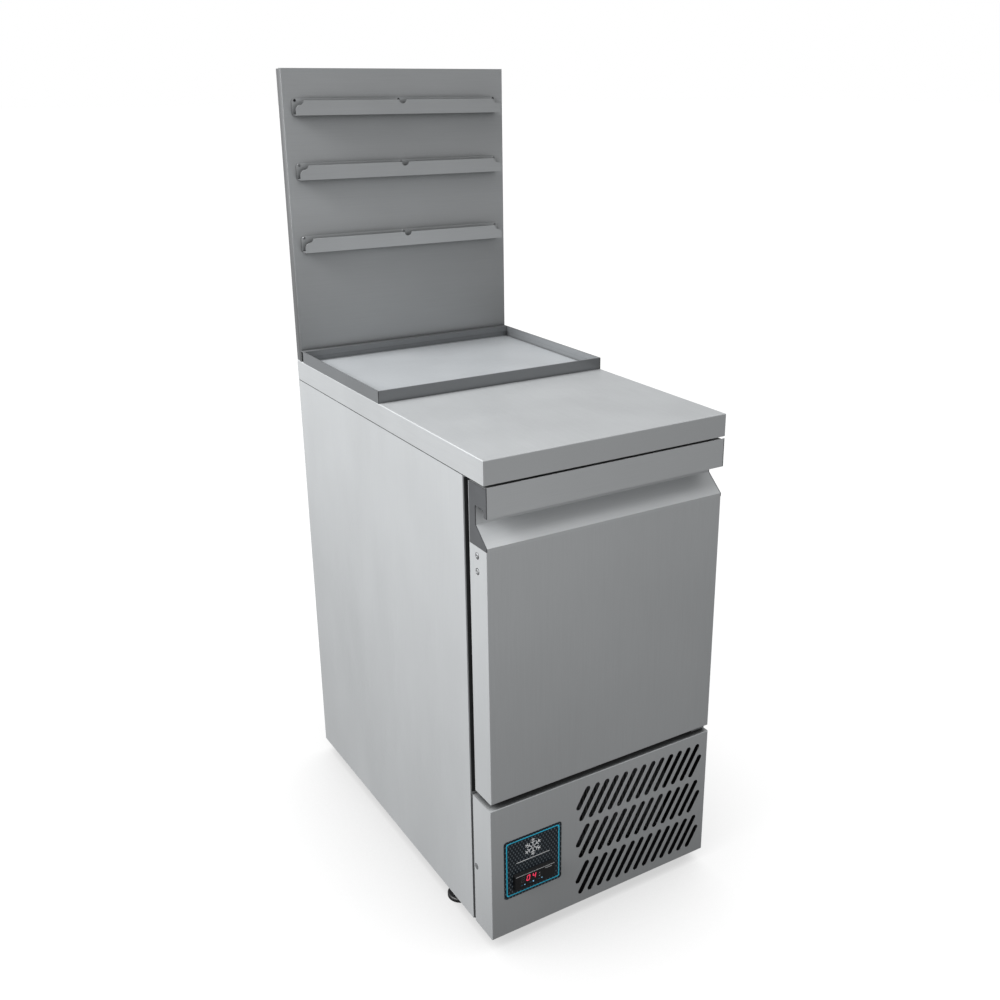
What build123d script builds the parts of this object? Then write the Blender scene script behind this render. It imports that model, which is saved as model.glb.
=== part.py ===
"""Undercounter refrigerator with a worktop, a topping tray and an upstand that carries three rails.

Millimetres, +Z up, +X to the right of someone facing the door, +Y to the back.
The origin is on the floor, under the middle of the whole object's box.
A "depth" is a distance back from the worktop's front edge; at() turns it into a Y value.
"""

import os
from math import hypot

from build123d import *

# ---------------------------------------------------------------- driving dimensions
WIDTH = 435.0               # cabinet, worktop, tray and upstand are all this wide
DEPTH = 700.0               # worktop, front edge to back edge
WORKTOP_TOP = 838.3         # working height
WORKTOP_EDGE = 36.8         # height of the worktop's folded edge
UPSTAND_TOP = 1346.5        # overall height
FLOOR_GAP = 24.0            # clear height under the cabinet
SHEET = 1.0                 # stainless sheet

CONTROL_PROUD = 9.4         # the controller is the foremost piece
UPSTAND_BACK = 706.6        # the upstand is the rearmost piece
ORIGIN_DEPTH = (UPSTAND_BACK - CONTROL_PROUD) / 2

HALF = WIDTH / 2
WORKTOP_BOTTOM = WORKTOP_TOP - WORKTOP_EDGE

# cabinet
FRONT = 60.7                # depth of the face that the door gasket meets
CABINET_TOP = 800.0
MACHINE_TOP = 280.5         # ceiling of the machine compartment
LINER_HALF = 172.0          # inside of the food compartment
LINER_FLOOR = 326.0
LINER_ROOF = 756.0
LINER_BACK = 654.0

# door
DOOR_HALF = 215.3
DOOR_FRONT = -1.0
DOOR_BACK = 48.0
DOOR_BOTTOM = 280.7
DOOR_TOP = 796.0
HANDLE_BOTTOM = 702.0       # the handle profile starts here
RECESS_BACK = 30.0          # finger recess under the lip
RECESS_ROOF = 764.5
LIP_FRONT = -2.1
LIP_BACK = 5.5
LIP_BOTTOM = 752.3
STRIP_TOP = 798.7
CAP_THICKNESS = 1.6
GASKET_BACK = 60.2
GASKET_LOW = 290.0
GASKET_HIGH = 790.0
DISH_BOTTOM = 335.0         # raised middle of the door liner
DISH_TOP = 746.0
HINGE_X = 203.0
HINGE_DEPTH = 22.0
PIN_RADIUS = 4.0
PIN_CLEARANCE = 0.05
BUSH_RADIUS = 7.0
BUSH_LENGTH = 20.0
FLANGE_RADIUS = 11.0

# lower front panel
FASCIA_HALF = 216.9
FASCIA_FRONT = -0.7
FASCIA_BACK = 54.5
FASCIA_TOP = 268.7
SLOT_ROWS = (45.5, 118.2, 190.8)    # heights of the lower slot ends
SLOT_COUNT = 14
SLOT_PITCH = 19.06
SLOT_FIRST = -65.3          # lower end of the first slot, before it is cut short
SLOT_RUN = 31.0             # a slot's top stands this far to the right of its bottom
SLOT_RISE = 53.4
SLOT_WIDTH = 9.4
SLOT_CUT = 0.43             # share that the first and last slot of a row lose
LABEL_LEFT = -194.0
LABEL_RIGHT = -85.5
LABEL_LOW = 92.3
LABEL_HIGH = 202.0
LABEL_SHEET = 0.4
BEZEL_LEFT = -177.5
BEZEL_RIGHT = -103.0
BEZEL_LOW = 108.5
BEZEL_HIGH = 135.0
BEZEL_FRONT = -9.0
BUTTON_PLACES = (-163.0, -146.8, -130.6)
BUTTON_Z = 114.6
BUTTON_TRAVEL = 0.6

# upstand and rails
UPSTAND_FRONT = 679.0
UPSTAND_RETURN = 8.0
RAIL_HALF = 201.5
RAIL_PLATE = 27.7           # height of the plate against the upstand
RAIL_LIP = 24.5             # height of the front lip
RAIL_REACH = 20.0
RAIL_SHEET = 1.2
RIVET_PLACES = (-196.0, 0.0, 196.0)
RIVET_DROP = 3.3            # from the plate's top edge
RIVET_RADIUS = 1.6
RAIL_BOTTOMS = {"rail_upper": 1270.0, "rail_middle": 1162.7, "rail_lower": 1037.3}

# tray on the worktop
TRAY_FRONT = 340.8
TRAY_RIM = 20.5
TRAY_LEDGE = 10.0

# feet
FOOT_PLACES = {
    "front_left": (-193.0, 150.0),
    "front_right": (193.0, 150.0),
    "rear_left": (-150.0, 640.0),
    "rear_right": (150.0, 640.0),
}
PAD_RADIUS = 23.5
STEM_RADIUS = 5.0
STEM_TOP = 64.0

# inside
SHELF_LEVELS = {"shelf_lower": 440.0, "shelf_upper": 600.0}
SHELF_FRONT = 82.0
SHELF_BACK = 578.0
EVAPORATOR_FAN = (0.0, 450.0)       # x and z of its axis
CONDENSER_FAN = (72.0, 152.0)

os.makedirs("parts", exist_ok=True)


# ---------------------------------------------------------------- helpers
def at(x, depth, z):
    """A point, given its depth behind the worktop's front edge."""
    return (x, depth - ORIGIN_DEPTH, z)


def facing_front(depth):
    """Plane at a depth, facing the user: its x is X and its y is Z."""
    return Plane(origin=at(0, depth, 0), x_dir=(1, 0, 0), z_dir=(0, -1, 0))


def facing_side(x):
    """Plane at an x, facing +X: its x is the depth and its y is Z."""
    return Plane(origin=at(x, 0, 0), x_dir=(0, 1, 0), z_dir=(1, 0, 0))


def plan(z):
    """Level plane at a height: its x is X and its y is the depth."""
    return Plane(origin=at(0, 0, z), x_dir=(1, 0, 0), z_dir=(0, 0, 1))


def slab(x_span, depth_span, z_span, mode=Mode.ADD):
    """Box between two values each way, added to or cut from the part being built."""
    middles = [(span[0] + span[1]) / 2 for span in (x_span, depth_span, z_span)]
    sizes = [span[1] - span[0] for span in (x_span, depth_span, z_span)]
    with Locations(at(*middles)):
        Box(*sizes, mode=mode)


def rod(axis, radius, centre, span, mode=Mode.ADD):
    """Cylinder along X, Y or Z; centre is its place in the other two directions."""
    middle = (span[0] + span[1]) / 2
    length = span[1] - span[0]
    places = {
        "X": at(middle, *centre),
        "Y": at(centre[0], middle, centre[1]),
        "Z": at(*centre, middle),
    }
    turns = {"X": (0, 90, 0), "Y": (90, 0, 0), "Z": (0, 0, 0)}
    with Locations(places[axis]):
        Cylinder(radius, length, rotation=turns[axis], mode=mode)


def save(builder, name):
    """Label a finished sub-part and write its STEP file."""
    builder.part.label = name
    export_step(builder.part, f"parts/{name}.step")


def save_group(builders, name):
    """Write several like pieces as the separate solids of one sub-part."""
    solids = [solid for builder in builders for solid in builder.part.solids()]
    group = Compound(children=solids, label=name)
    export_step(group, f"parts/{name}.step")


# ---------------------------------------------------------------- cabinet shell
def side_panel(side):
    """Outer side sheet, folded in at the front, where the gasket seals, and at the back."""
    front_fold = 20.0
    back_fold = 15.0
    outer = side * HALF
    inner = side * (HALF - SHEET)
    with BuildPart() as panel:
        slab(sorted((inner, outer)), (FRONT, DEPTH), (FLOOR_GAP + 0.5, CABINET_TOP))
        front_strip = sorted((side * (HALF - front_fold), outer))
        slab(front_strip, (FRONT, FRONT + SHEET), (FLOOR_GAP + 0.5, CABINET_TOP))
        back_strip = sorted((side * (HALF - back_fold), outer))
        slab(back_strip, (DEPTH - SHEET, DEPTH), (FLOOR_GAP + 0.5, CABINET_TOP))
    return panel


save(side_panel(-1), "side_panel_left")
save(side_panel(1), "side_panel_right")

BODY_HALF = HALF - SHEET - 0.1      # everything between the side panels
BODY_FRONT = FRONT + SHEET
BODY_BACK = DEPTH - SHEET - 0.1
FRAME_BACK = BODY_FRONT + 3.0

with BuildPart() as front_frame:
    slab((-BODY_HALF, BODY_HALF), (BODY_FRONT, FRAME_BACK), (MACHINE_TOP + 1.5, CABINET_TOP))
    slab((-LINER_HALF, LINER_HALF), (BODY_FRONT, FRAME_BACK), (LINER_FLOOR, LINER_ROOF), Mode.SUBTRACT)
save(front_frame, "front_frame")

# foam slabs: two sides, floor, roof and back, which meet face to face
LINER_OUT = LINER_HALF + SHEET
with BuildPart() as foam_sides:
    for side in (-1, 1):
        slab(
            sorted((side * LINER_OUT, side * BODY_HALF)),
            (FRAME_BACK, BODY_BACK),
            (MACHINE_TOP + 1.5, CABINET_TOP),
        )
with BuildPart() as foam_floor:
    slab((-LINER_OUT, LINER_OUT), (FRAME_BACK, BODY_BACK), (MACHINE_TOP + 1.5, LINER_FLOOR - SHEET))
with BuildPart() as foam_roof:
    slab((-LINER_OUT, LINER_OUT), (FRAME_BACK, BODY_BACK), (LINER_ROOF + SHEET, CABINET_TOP))
with BuildPart() as foam_back:
    slab((-LINER_OUT, LINER_OUT), (LINER_BACK + SHEET, BODY_BACK), (LINER_FLOOR - SHEET, LINER_ROOF + SHEET))
save_group([foam_sides, foam_floor, foam_roof, foam_back], "foam_walls")

with BuildPart() as inner_liner:
    slab(
        (-LINER_OUT, LINER_OUT),
        (FRAME_BACK, LINER_BACK + SHEET),
        (LINER_FLOOR - SHEET, LINER_ROOF + SHEET),
    )
    slab((-LINER_HALF, LINER_HALF), (FRAME_BACK, LINER_BACK), (LINER_FLOOR, LINER_ROOF), Mode.SUBTRACT)
    inner_corners = inner_liner.faces().filter_by(Axis.Y).sort_by(Axis.Y)[1].edges()
    fillet(inner_corners, 0.8)
save(inner_liner, "inner_liner")

with BuildPart() as rear_panel:
    slab((-201, 201), (BODY_BACK, DEPTH), (MACHINE_TOP + 1.5, CABINET_TOP))
save(rear_panel, "rear_panel")

with BuildPart() as rear_grille:
    slab((-201, 201), (BODY_BACK, DEPTH), (FLOOR_GAP + 24, MACHINE_TOP))
    with BuildSketch(facing_front(DEPTH)):
        with Locations((40, 165)):
            with GridLocations(24, 60, 11, 3):
                SlotOverall(48, 6, rotation=90)
    extrude(amount=4, both=True, mode=Mode.SUBTRACT)
    rod("Y", 8, (-150, 110), (BODY_BACK - 1, DEPTH + 1), Mode.SUBTRACT)
save(rear_grille, "rear_grille")

with BuildPart() as compartment_ceiling:
    slab((-BODY_HALF, BODY_HALF), (BODY_FRONT, BODY_BACK), (MACHINE_TOP, MACHINE_TOP + 1.5))
save(compartment_ceiling, "compartment_ceiling")

PAN_FLOOR = 2.0
with BuildPart() as base_pan:
    slab((-BODY_HALF, BODY_HALF), (BODY_FRONT, BODY_BACK), (FLOOR_GAP, FLOOR_GAP + 22))
    slab(
        (-BODY_HALF + SHEET, BODY_HALF - SHEET),
        (BODY_FRONT + SHEET, BODY_BACK - SHEET),
        (FLOOR_GAP + PAN_FLOOR, FLOOR_GAP + 22),
        Mode.SUBTRACT,
    )
    for x, depth in FOOT_PLACES.values():
        rod("Z", STEM_RADIUS + 1, (x, depth), (FLOOR_GAP - 1, FLOOR_GAP + 5), Mode.SUBTRACT)
save(base_pan, "base_pan")

# ---------------------------------------------------------------- worktop, tray
with BuildPart() as worktop_skin:
    slab((-HALF, HALF), (0, DEPTH), (WORKTOP_BOTTOM, WORKTOP_TOP))
    fillet(worktop_skin.edges().group_by(Axis.Z)[-1], 1.6)
    slab(
        (-HALF + SHEET, HALF - SHEET),
        (SHEET, DEPTH - SHEET),
        (WORKTOP_BOTTOM, WORKTOP_TOP - SHEET - 0.6),
        Mode.SUBTRACT,
    )
save(worktop_skin, "worktop_skin")

CORE_INSET = 3.0
with BuildPart() as worktop_core:
    slab(
        (-HALF + CORE_INSET, HALF - CORE_INSET),
        (CORE_INSET, DEPTH - CORE_INSET),
        (WORKTOP_BOTTOM + 1, WORKTOP_TOP - SHEET - 0.7),
    )
    slab((-HALF + CORE_INSET, HALF - CORE_INSET), (FRONT, DEPTH - CORE_INSET), (CABINET_TOP, WORKTOP_BOTTOM + 2))
save(worktop_core, "worktop_core")

HEM_DEPTH = 10.0
HEM_THICKNESS = 1.3
TRAY_TOP = WORKTOP_TOP + TRAY_RIM
TRAY_REAR_WALL = UPSTAND_FRONT - TRAY_LEDGE
with BuildPart() as tray:
    slab((-HALF, HALF), (TRAY_FRONT, TRAY_REAR_WALL), (WORKTOP_TOP, TRAY_TOP))
    slab(
        (-HALF + SHEET, HALF - SHEET),
        (TRAY_FRONT + SHEET, TRAY_REAR_WALL - SHEET),
        (WORKTOP_TOP + SHEET, TRAY_TOP),
        Mode.SUBTRACT,
    )
    # the rim is folded down inside the wall on all four sides
    hem_out = HALF - SHEET
    slab((-hem_out, hem_out), (TRAY_FRONT + SHEET, TRAY_REAR_WALL - SHEET), (TRAY_TOP - HEM_DEPTH, TRAY_TOP))
    slab(
        (-hem_out + HEM_THICKNESS, hem_out - HEM_THICKNESS),
        (TRAY_FRONT + SHEET + HEM_THICKNESS, TRAY_REAR_WALL - SHEET - HEM_THICKNESS),
        (TRAY_TOP - HEM_DEPTH, TRAY_TOP),
        Mode.SUBTRACT,
    )
    # ledge back to the upstand
    slab((-HALF, HALF), (TRAY_REAR_WALL, UPSTAND_FRONT), (TRAY_TOP - SHEET, TRAY_TOP))
save(tray, "tray")

# ---------------------------------------------------------------- upstand
with BuildPart() as upstand_front:
    slab((-HALF, HALF), (UPSTAND_FRONT, UPSTAND_FRONT + UPSTAND_RETURN), (WORKTOP_TOP, UPSTAND_TOP))
    fillet(upstand_front.edges().filter_by(Axis.Z).group_by(Axis.Y)[0], 1.2)
    slab(
        (-HALF + SHEET, HALF - SHEET),
        (UPSTAND_FRONT + SHEET, UPSTAND_FRONT + UPSTAND_RETURN),
        (WORKTOP_TOP, UPSTAND_TOP - SHEET),
        Mode.SUBTRACT,
    )
save(upstand_front, "upstand_front")

COVER_FRONT = UPSTAND_FRONT + UPSTAND_RETURN
COVER_HALF = HALF - 1.2
COVER_TOP = UPSTAND_TOP - 1.0
with BuildPart() as upstand_back_cover:
    slab((-COVER_HALF, COVER_HALF), (COVER_FRONT, UPSTAND_BACK), (WORKTOP_TOP, COVER_TOP))
    rear_face = upstand_back_cover.faces().sort_by(Axis.Y)[-1]
    fillet(rear_face.edges().filter_by(Axis.Z) + rear_face.edges().group_by(Axis.Z)[-1], 6.0)
    slab(
        (-COVER_HALF + SHEET, COVER_HALF - SHEET),
        (COVER_FRONT, UPSTAND_BACK - SHEET),
        (WORKTOP_TOP, COVER_TOP - 6.0),
        Mode.SUBTRACT,
    )
save(upstand_back_cover, "upstand_back_cover")

UPRIGHT_X = 150.0
with BuildPart() as upstand_uprights:
    for side in (-1, 1):
        centre = side * UPRIGHT_X
        slab((centre - 12, centre + 12), (681, 699), (WORKTOP_TOP, 1330))
        slab((centre - 10.5, centre + 10.5), (682.5, 697.5), (WORKTOP_TOP, 1330), Mode.SUBTRACT)

# flat bars on the cabinet's back that the uprights are bolted to
with BuildPart() as upstand_brackets:
    for side in (-1, 1):
        centre = side * UPRIGHT_X
        slab((centre - 15, centre + 15), (DEPTH, DEPTH + 3), (730, 960))
save_group([upstand_uprights, upstand_brackets], "upstand_supports")

with BuildPart() as bracket_bolts:
    for side in (-1, 1):
        for z in (745, 785):
            rod("Y", 6, (side * UPRIGHT_X, z), (DEPTH + 3, DEPTH + 6))


# ---------------------------------------------------------------- rails
def rail(bottom):
    """Sheet hook: plate against the upstand, floor, and a shaped front lip with a notch."""
    shoulder = 17.0             # height of the lip at its ends
    step = 15.0                 # length of the lowered ends
    lip_back = UPSTAND_FRONT - RAIL_REACH + RAIL_SHEET
    with BuildPart() as hook:
        with BuildSketch(facing_front(UPSTAND_FRONT)) as plate:
            with Locations((0, bottom + RAIL_PLATE / 2)):
                Rectangle(2 * RAIL_HALF, RAIL_PLATE)
            fillet(plate.vertices().group_by(Axis.Y)[-1], 5.0)
            with Locations(*[(x, bottom + RAIL_PLATE - RIVET_DROP) for x in RIVET_PLACES]):
                Circle(RIVET_RADIUS, mode=Mode.SUBTRACT)
        extrude(amount=RAIL_SHEET)
        slab((-RAIL_HALF, RAIL_HALF), (lip_back - RAIL_SHEET, UPSTAND_FRONT), (bottom, bottom + RAIL_SHEET))
        with BuildSketch(facing_front(lip_back)) as lip:
            with Locations((0, bottom + shoulder / 2)):
                Rectangle(2 * RAIL_HALF, shoulder)
            with Locations((0, bottom + RAIL_LIP / 2)):
                Rectangle(2 * (RAIL_HALF - step), RAIL_LIP)
            ends = lip.vertices().group_by(Axis.Y)[1].sort_by(Axis.X)
            fillet([ends[0], ends[-1]], 8.0)
            inner_ends = [v for v in lip.vertices() if abs(abs(v.X) - (RAIL_HALF - step)) < 0.01]
            fillet([v for v in inner_ends if v.Y < bottom + RAIL_LIP - 1], 6.8)
            with Locations((0, bottom + RAIL_LIP)):
                Circle(7.0, mode=Mode.SUBTRACT)
        extrude(amount=RAIL_SHEET)
    return hook


for rail_name, rail_bottom in RAIL_BOTTOMS.items():
    save(rail(rail_bottom), rail_name)

with BuildPart() as rail_rivets:
    for rail_bottom in RAIL_BOTTOMS.values():
        rivet_z = rail_bottom + RAIL_PLATE - RIVET_DROP
        for x in RIVET_PLACES:
            rod("Y", RIVET_RADIUS, (x, rivet_z), (UPSTAND_FRONT - RAIL_SHEET, UPSTAND_FRONT))
            head_back = UPSTAND_FRONT - RAIL_SHEET
            rod("Y", RIVET_RADIUS + 0.9, (x, rivet_z), (head_back - 0.7, head_back))
save(rail_rivets, "rail_rivets")


# ---------------------------------------------------------------- door
def handle_outline():
    """Door section at the handle, as depth and height: slope, recess, lip and top strip."""
    return [
        (DOOR_BACK - SHEET, HANDLE_BOTTOM),
        (DOOR_FRONT, HANDLE_BOTTOM),
        (DOOR_FRONT, HANDLE_BOTTOM + 5),
        (RECESS_BACK, HANDLE_BOTTOM + 32),
        (RECESS_BACK, RECESS_ROOF),
        (LIP_BACK, RECESS_ROOF),
        (LIP_BACK, LIP_BOTTOM),
        (LIP_FRONT, LIP_BOTTOM),
        (LIP_FRONT, STRIP_TOP),
        (LIP_FRONT + SHEET, STRIP_TOP),
        (LIP_FRONT + SHEET, DOOR_TOP),
        (DOOR_BACK - SHEET, DOOR_TOP),
    ]


def bush_hole(x, z_span):
    """Cut the hole of a hinge bush down through the part being built."""
    rod("Z", BUSH_RADIUS, (x, HINGE_DEPTH), z_span, Mode.SUBTRACT)


with BuildPart() as door_skin:
    slab((-DOOR_HALF, DOOR_HALF), (DOOR_FRONT, DOOR_BACK - SHEET), (DOOR_BOTTOM, HANDLE_BOTTOM))
    front_edges = door_skin.faces().sort_by(Axis.Y)[0].edges()
    fillet(front_edges.sort_by(Axis.Z)[:-1], 1.2)
    slab(
        (-DOOR_HALF + SHEET, DOOR_HALF - SHEET),
        (DOOR_FRONT + SHEET, DOOR_BACK - SHEET),
        (DOOR_BOTTOM + SHEET, HANDLE_BOTTOM),
        Mode.SUBTRACT,
    )
    for side in (-1, 1):
        bush_hole(side * HINGE_X, (DOOR_BOTTOM - 1, DOOR_BOTTOM + 5))
save(door_skin, "door_skin")

with BuildPart() as door_foam:
    slab(
        (-DOOR_HALF + SHEET, DOOR_HALF - SHEET),
        (DOOR_FRONT + SHEET, DOOR_BACK - SHEET),
        (DOOR_BOTTOM + SHEET, HANDLE_BOTTOM),
    )
    for side in (-1, 1):
        bush_hole(side * HINGE_X, (DOOR_BOTTOM, DOOR_BOTTOM + BUSH_LENGTH))
save(door_foam, "door_foam")

PROFILE_HALF = DOOR_HALF - CAP_THICKNESS
PROFILE_WALL = 1.4
with BuildPart() as handle_profile:
    with BuildSketch(facing_side(-PROFILE_HALF)):
        with BuildLine():
            Polyline(*handle_outline(), close=True)
        make_face()
    extrude(amount=2 * PROFILE_HALF)
    # hollow behind the slope and the recess, and inside the lip
    hollow_back = DOOR_BACK - SHEET - PROFILE_WALL
    slab(
        (-PROFILE_HALF, PROFILE_HALF),
        (RECESS_BACK + PROFILE_WALL, hollow_back),
        (HANDLE_BOTTOM + PROFILE_WALL, DOOR_TOP - PROFILE_WALL),
        Mode.SUBTRACT,
    )
    slab(
        (-PROFILE_HALF, PROFILE_HALF),
        (LIP_FRONT + PROFILE_WALL, RECESS_BACK + PROFILE_WALL),
        (RECESS_ROOF + PROFILE_WALL, DOOR_TOP - PROFILE_WALL),
        Mode.SUBTRACT,
    )
    for side in (-1, 1):
        bush_hole(side * HINGE_X, (DOOR_TOP - 5, DOOR_TOP + 1))
save(handle_profile, "handle_profile")


def end_cap(side):
    """Plastic cap that closes one end of the handle profile."""
    start = PROFILE_HALF if side > 0 else -DOOR_HALF
    with BuildPart() as cap:
        with BuildSketch(facing_side(start)):
            with BuildLine():
                Polyline(*handle_outline(), close=True)
            make_face()
        extrude(amount=CAP_THICKNESS)
    return cap


save_group([end_cap(-1), end_cap(1)], "handle_end_caps")

DISH_HALF = 168.0
DISH_DEPTH = 6.0
DISH_WALL = 1.5
with BuildPart() as door_liner:
    slab((-DOOR_HALF, DOOR_HALF), (DOOR_BACK - SHEET, DOOR_BACK), (DOOR_BOTTOM, DOOR_TOP))
    slab((-DISH_HALF, DISH_HALF), (DOOR_BACK, DOOR_BACK + DISH_DEPTH), (DISH_BOTTOM, DISH_TOP))
    fillet(door_liner.faces().sort_by(Axis.Y)[-1].edges(), 3.0)
    slab(
        (-DISH_HALF + DISH_WALL, DISH_HALF - DISH_WALL),
        (DOOR_BACK - SHEET, DOOR_BACK + DISH_DEPTH - DISH_WALL),
        (DISH_BOTTOM + DISH_WALL, DISH_TOP - DISH_WALL),
        Mode.SUBTRACT,
    )
save(door_liner, "door_liner")

GASKET_OUT = 206.0
GASKET_WIDTH = 24.0
with BuildPart() as door_gasket:
    with BuildSketch(facing_front(GASKET_BACK)):
        with Locations((0, (GASKET_LOW + GASKET_HIGH) / 2)):
            RectangleRounded(2 * GASKET_OUT, GASKET_HIGH - GASKET_LOW, 8)
            Rectangle(
                2 * (GASKET_OUT - GASKET_WIDTH),
                GASKET_HIGH - GASKET_LOW - 2 * GASKET_WIDTH,
                mode=Mode.SUBTRACT,
            )
    extrude(amount=GASKET_BACK - DOOR_BACK)
    # groove between the clip and the magnet chamber
    for side in (-1, 1):
        groove = sorted((side * (GASKET_OUT - 3), side * (GASKET_OUT + 1)))
        slab(groove, (52, 54), (GASKET_LOW, GASKET_HIGH), Mode.SUBTRACT)
save(door_gasket, "door_gasket")


def bush(x, top, flanged, bored):
    """Hinge bush standing below a height; without a bore it is the plug of the unused side."""
    bottom = top - BUSH_LENGTH
    with BuildPart() as sleeve:
        rod("Z", BUSH_RADIUS, (x, HINGE_DEPTH), (bottom, top))
        if flanged:
            rod("Z", FLANGE_RADIUS, (x, HINGE_DEPTH), (bottom - 3, bottom))
        if bored:
            rod("Z", PIN_RADIUS + PIN_CLEARANCE, (x, HINGE_DEPTH), (bottom - 4, top + 1), Mode.SUBTRACT)
    return sleeve


BUSH_TOPS = ((DOOR_BOTTOM + BUSH_LENGTH, True), (DOOR_TOP, False))     # height, flanged
bored_bushes = [bush(HINGE_X, top, flanged, True) for top, flanged in BUSH_TOPS]
save_group(bored_bushes, "hinge_bushes")
plain_plugs = [bush(-HINGE_X, top, flanged, False) for top, flanged in BUSH_TOPS]
save_group(plain_plugs, "hinge_plugs")

SCREW_HEAD = 1.2
with BuildPart() as door_screws:
    for side in (-1, 1):
        for z in (663.2, 687.6):
            rod("X", 4.5, (26, z), sorted((side * DOOR_HALF, side * (DOOR_HALF + SCREW_HEAD))))
    ends = door_screws.faces().filter_by(Axis.X)
    outer_ends = [face for face in ends if abs(face.center().X) > DOOR_HALF + SCREW_HEAD / 2]
    fillet([edge for face in outer_ends for edge in face.edges()], 0.7)
save(door_screws, "door_screws")

with BuildPart() as top_hinge_plate:
    slab((HINGE_X - 15, HALF - 2), (HINGE_DEPTH - 14, FRONT - 2), (WORKTOP_BOTTOM - 1.5, WORKTOP_BOTTOM + 1))
    rod("Z", PIN_RADIUS, (HINGE_X, HINGE_DEPTH), (DOOR_TOP - 16, WORKTOP_BOTTOM - 1.5))

BRACKET_BOTTOM = 271.5
with BuildPart() as bottom_hinge_bracket:
    slab((HINGE_X - 16, HALF - 3), (HINGE_DEPTH - 14, FRONT), (BRACKET_BOTTOM, BRACKET_BOTTOM + 3))
    slab((HINGE_X - 16, HALF - 3), (FRONT - 3, FRONT), (BRACKET_BOTTOM - 10, BRACKET_BOTTOM + 3))
    rod("Z", PIN_RADIUS, (HINGE_X, HINGE_DEPTH), (BRACKET_BOTTOM + 3, DOOR_BOTTOM + 16))
save_group([top_hinge_plate, bottom_hinge_bracket], "hinge_brackets")


# ---------------------------------------------------------------- lower front panel
def slot_ends(index, row_bottom):
    """End centres of one slanted slot; the first and last of a row are cut short."""
    low_x = SLOT_FIRST + index * SLOT_PITCH
    low_share = SLOT_CUT if index == 0 else 0.0
    high_share = 1.0 - SLOT_CUT if index == SLOT_COUNT - 1 else 1.0
    low = (low_x + SLOT_RUN * low_share, row_bottom + SLOT_RISE * low_share)
    high = (low_x + SLOT_RUN * high_share, row_bottom + SLOT_RISE * high_share)
    return low, high


with BuildPart() as fascia:
    slab((-FASCIA_HALF, FASCIA_HALF), (FASCIA_FRONT, FASCIA_BACK), (FLOOR_GAP, FASCIA_TOP))
    fillet(fascia.faces().sort_by(Axis.Y)[0].edges(), 1.2)
    slab(
        (-FASCIA_HALF + SHEET, FASCIA_HALF - SHEET),
        (FASCIA_FRONT + SHEET, FASCIA_BACK),
        (FLOOR_GAP + SHEET, FASCIA_TOP - SHEET),
        Mode.SUBTRACT,
    )
    with BuildSketch(facing_front(FASCIA_FRONT)):
        for row in SLOT_ROWS:
            for index in range(SLOT_COUNT):
                low, high = slot_ends(index, row)
                lean = Vector(high[0] - low[0], high[1] - low[1]).get_signed_angle(Vector(1, 0))
                with Locations(((low[0] + high[0]) / 2, (low[1] + high[1]) / 2)):
                    length = hypot(high[0] - low[0], high[1] - low[1])
                    SlotCenterToCenter(length, SLOT_WIDTH, rotation=abs(lean))
    extrude(amount=3, both=True, mode=Mode.SUBTRACT)
    housing_x = (BEZEL_LEFT + 3, BEZEL_RIGHT - 3)
    housing_z = (BEZEL_LOW + 2, BEZEL_HIGH - 2)
    slab(housing_x, (FASCIA_FRONT - 1, FASCIA_FRONT + 3), housing_z, Mode.SUBTRACT)
save(fascia, "fascia")

with BuildPart() as fascia_screws:
    for side in (-1, 1):
        rod("X", 4.5, (47, 137.3), sorted((side * FASCIA_HALF, side * HALF)))
save_group([fascia_screws, bracket_bolts], "cabinet_screws")

with BuildPart() as control_label:
    with BuildSketch(facing_front(FASCIA_FRONT)):
        with Locations(((LABEL_LEFT + LABEL_RIGHT) / 2, (LABEL_LOW + LABEL_HIGH) / 2)):
            RectangleRounded(LABEL_RIGHT - LABEL_LEFT, LABEL_HIGH - LABEL_LOW, 5)
        with Locations(((BEZEL_LEFT + BEZEL_RIGHT) / 2, (BEZEL_LOW + BEZEL_HIGH) / 2)):
            Rectangle(BEZEL_RIGHT - BEZEL_LEFT - 6, BEZEL_HIGH - BEZEL_LOW - 4, mode=Mode.SUBTRACT)
    extrude(amount=LABEL_SHEET)
save(control_label, "control_label")

BUTTON_WIDTH = 12.0
BUTTON_HEIGHT = 5.0
BUTTON_GAP = 0.35
BUTTON_LENGTH = 3.0
WINDOW_LEFT = BEZEL_LEFT + 8
WINDOW_RIGHT = BEZEL_LEFT + 54
WINDOW_LOW = 118.5
WINDOW_HIGH = 132.5
BEZEL_BACK = FASCIA_FRONT - LABEL_SHEET
with BuildPart() as controller_body:
    slab((BEZEL_LEFT, BEZEL_RIGHT), (BEZEL_FRONT, BEZEL_BACK), (BEZEL_LOW, BEZEL_HIGH))
    front_face = controller_body.faces().sort_by(Axis.Y)[0]
    chamfer(front_face.edges(), 1.0)
    slab(
        (BEZEL_LEFT + 3.2, BEZEL_RIGHT - 3.2),
        (BEZEL_BACK, FASCIA_BACK - 4),
        (BEZEL_LOW + 2.2, BEZEL_HIGH - 2.2),
    )
    slab(
        (WINDOW_LEFT, WINDOW_RIGHT),
        (BEZEL_FRONT - 1, BEZEL_FRONT + 1.2),
        (WINDOW_LOW, WINDOW_HIGH),
        Mode.SUBTRACT,
    )
    for x in BUTTON_PLACES:
        slab(
            (x - BUTTON_WIDTH / 2 - BUTTON_GAP, x + BUTTON_WIDTH / 2 + BUTTON_GAP),
            (BEZEL_FRONT - 1, BEZEL_FRONT + BUTTON_LENGTH + BUTTON_TRAVEL),
            (BUTTON_Z - BUTTON_HEIGHT / 2 - BUTTON_GAP, BUTTON_Z + BUTTON_HEIGHT / 2 + BUTTON_GAP),
            Mode.SUBTRACT,
        )
save(controller_body, "controller_body")

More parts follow.
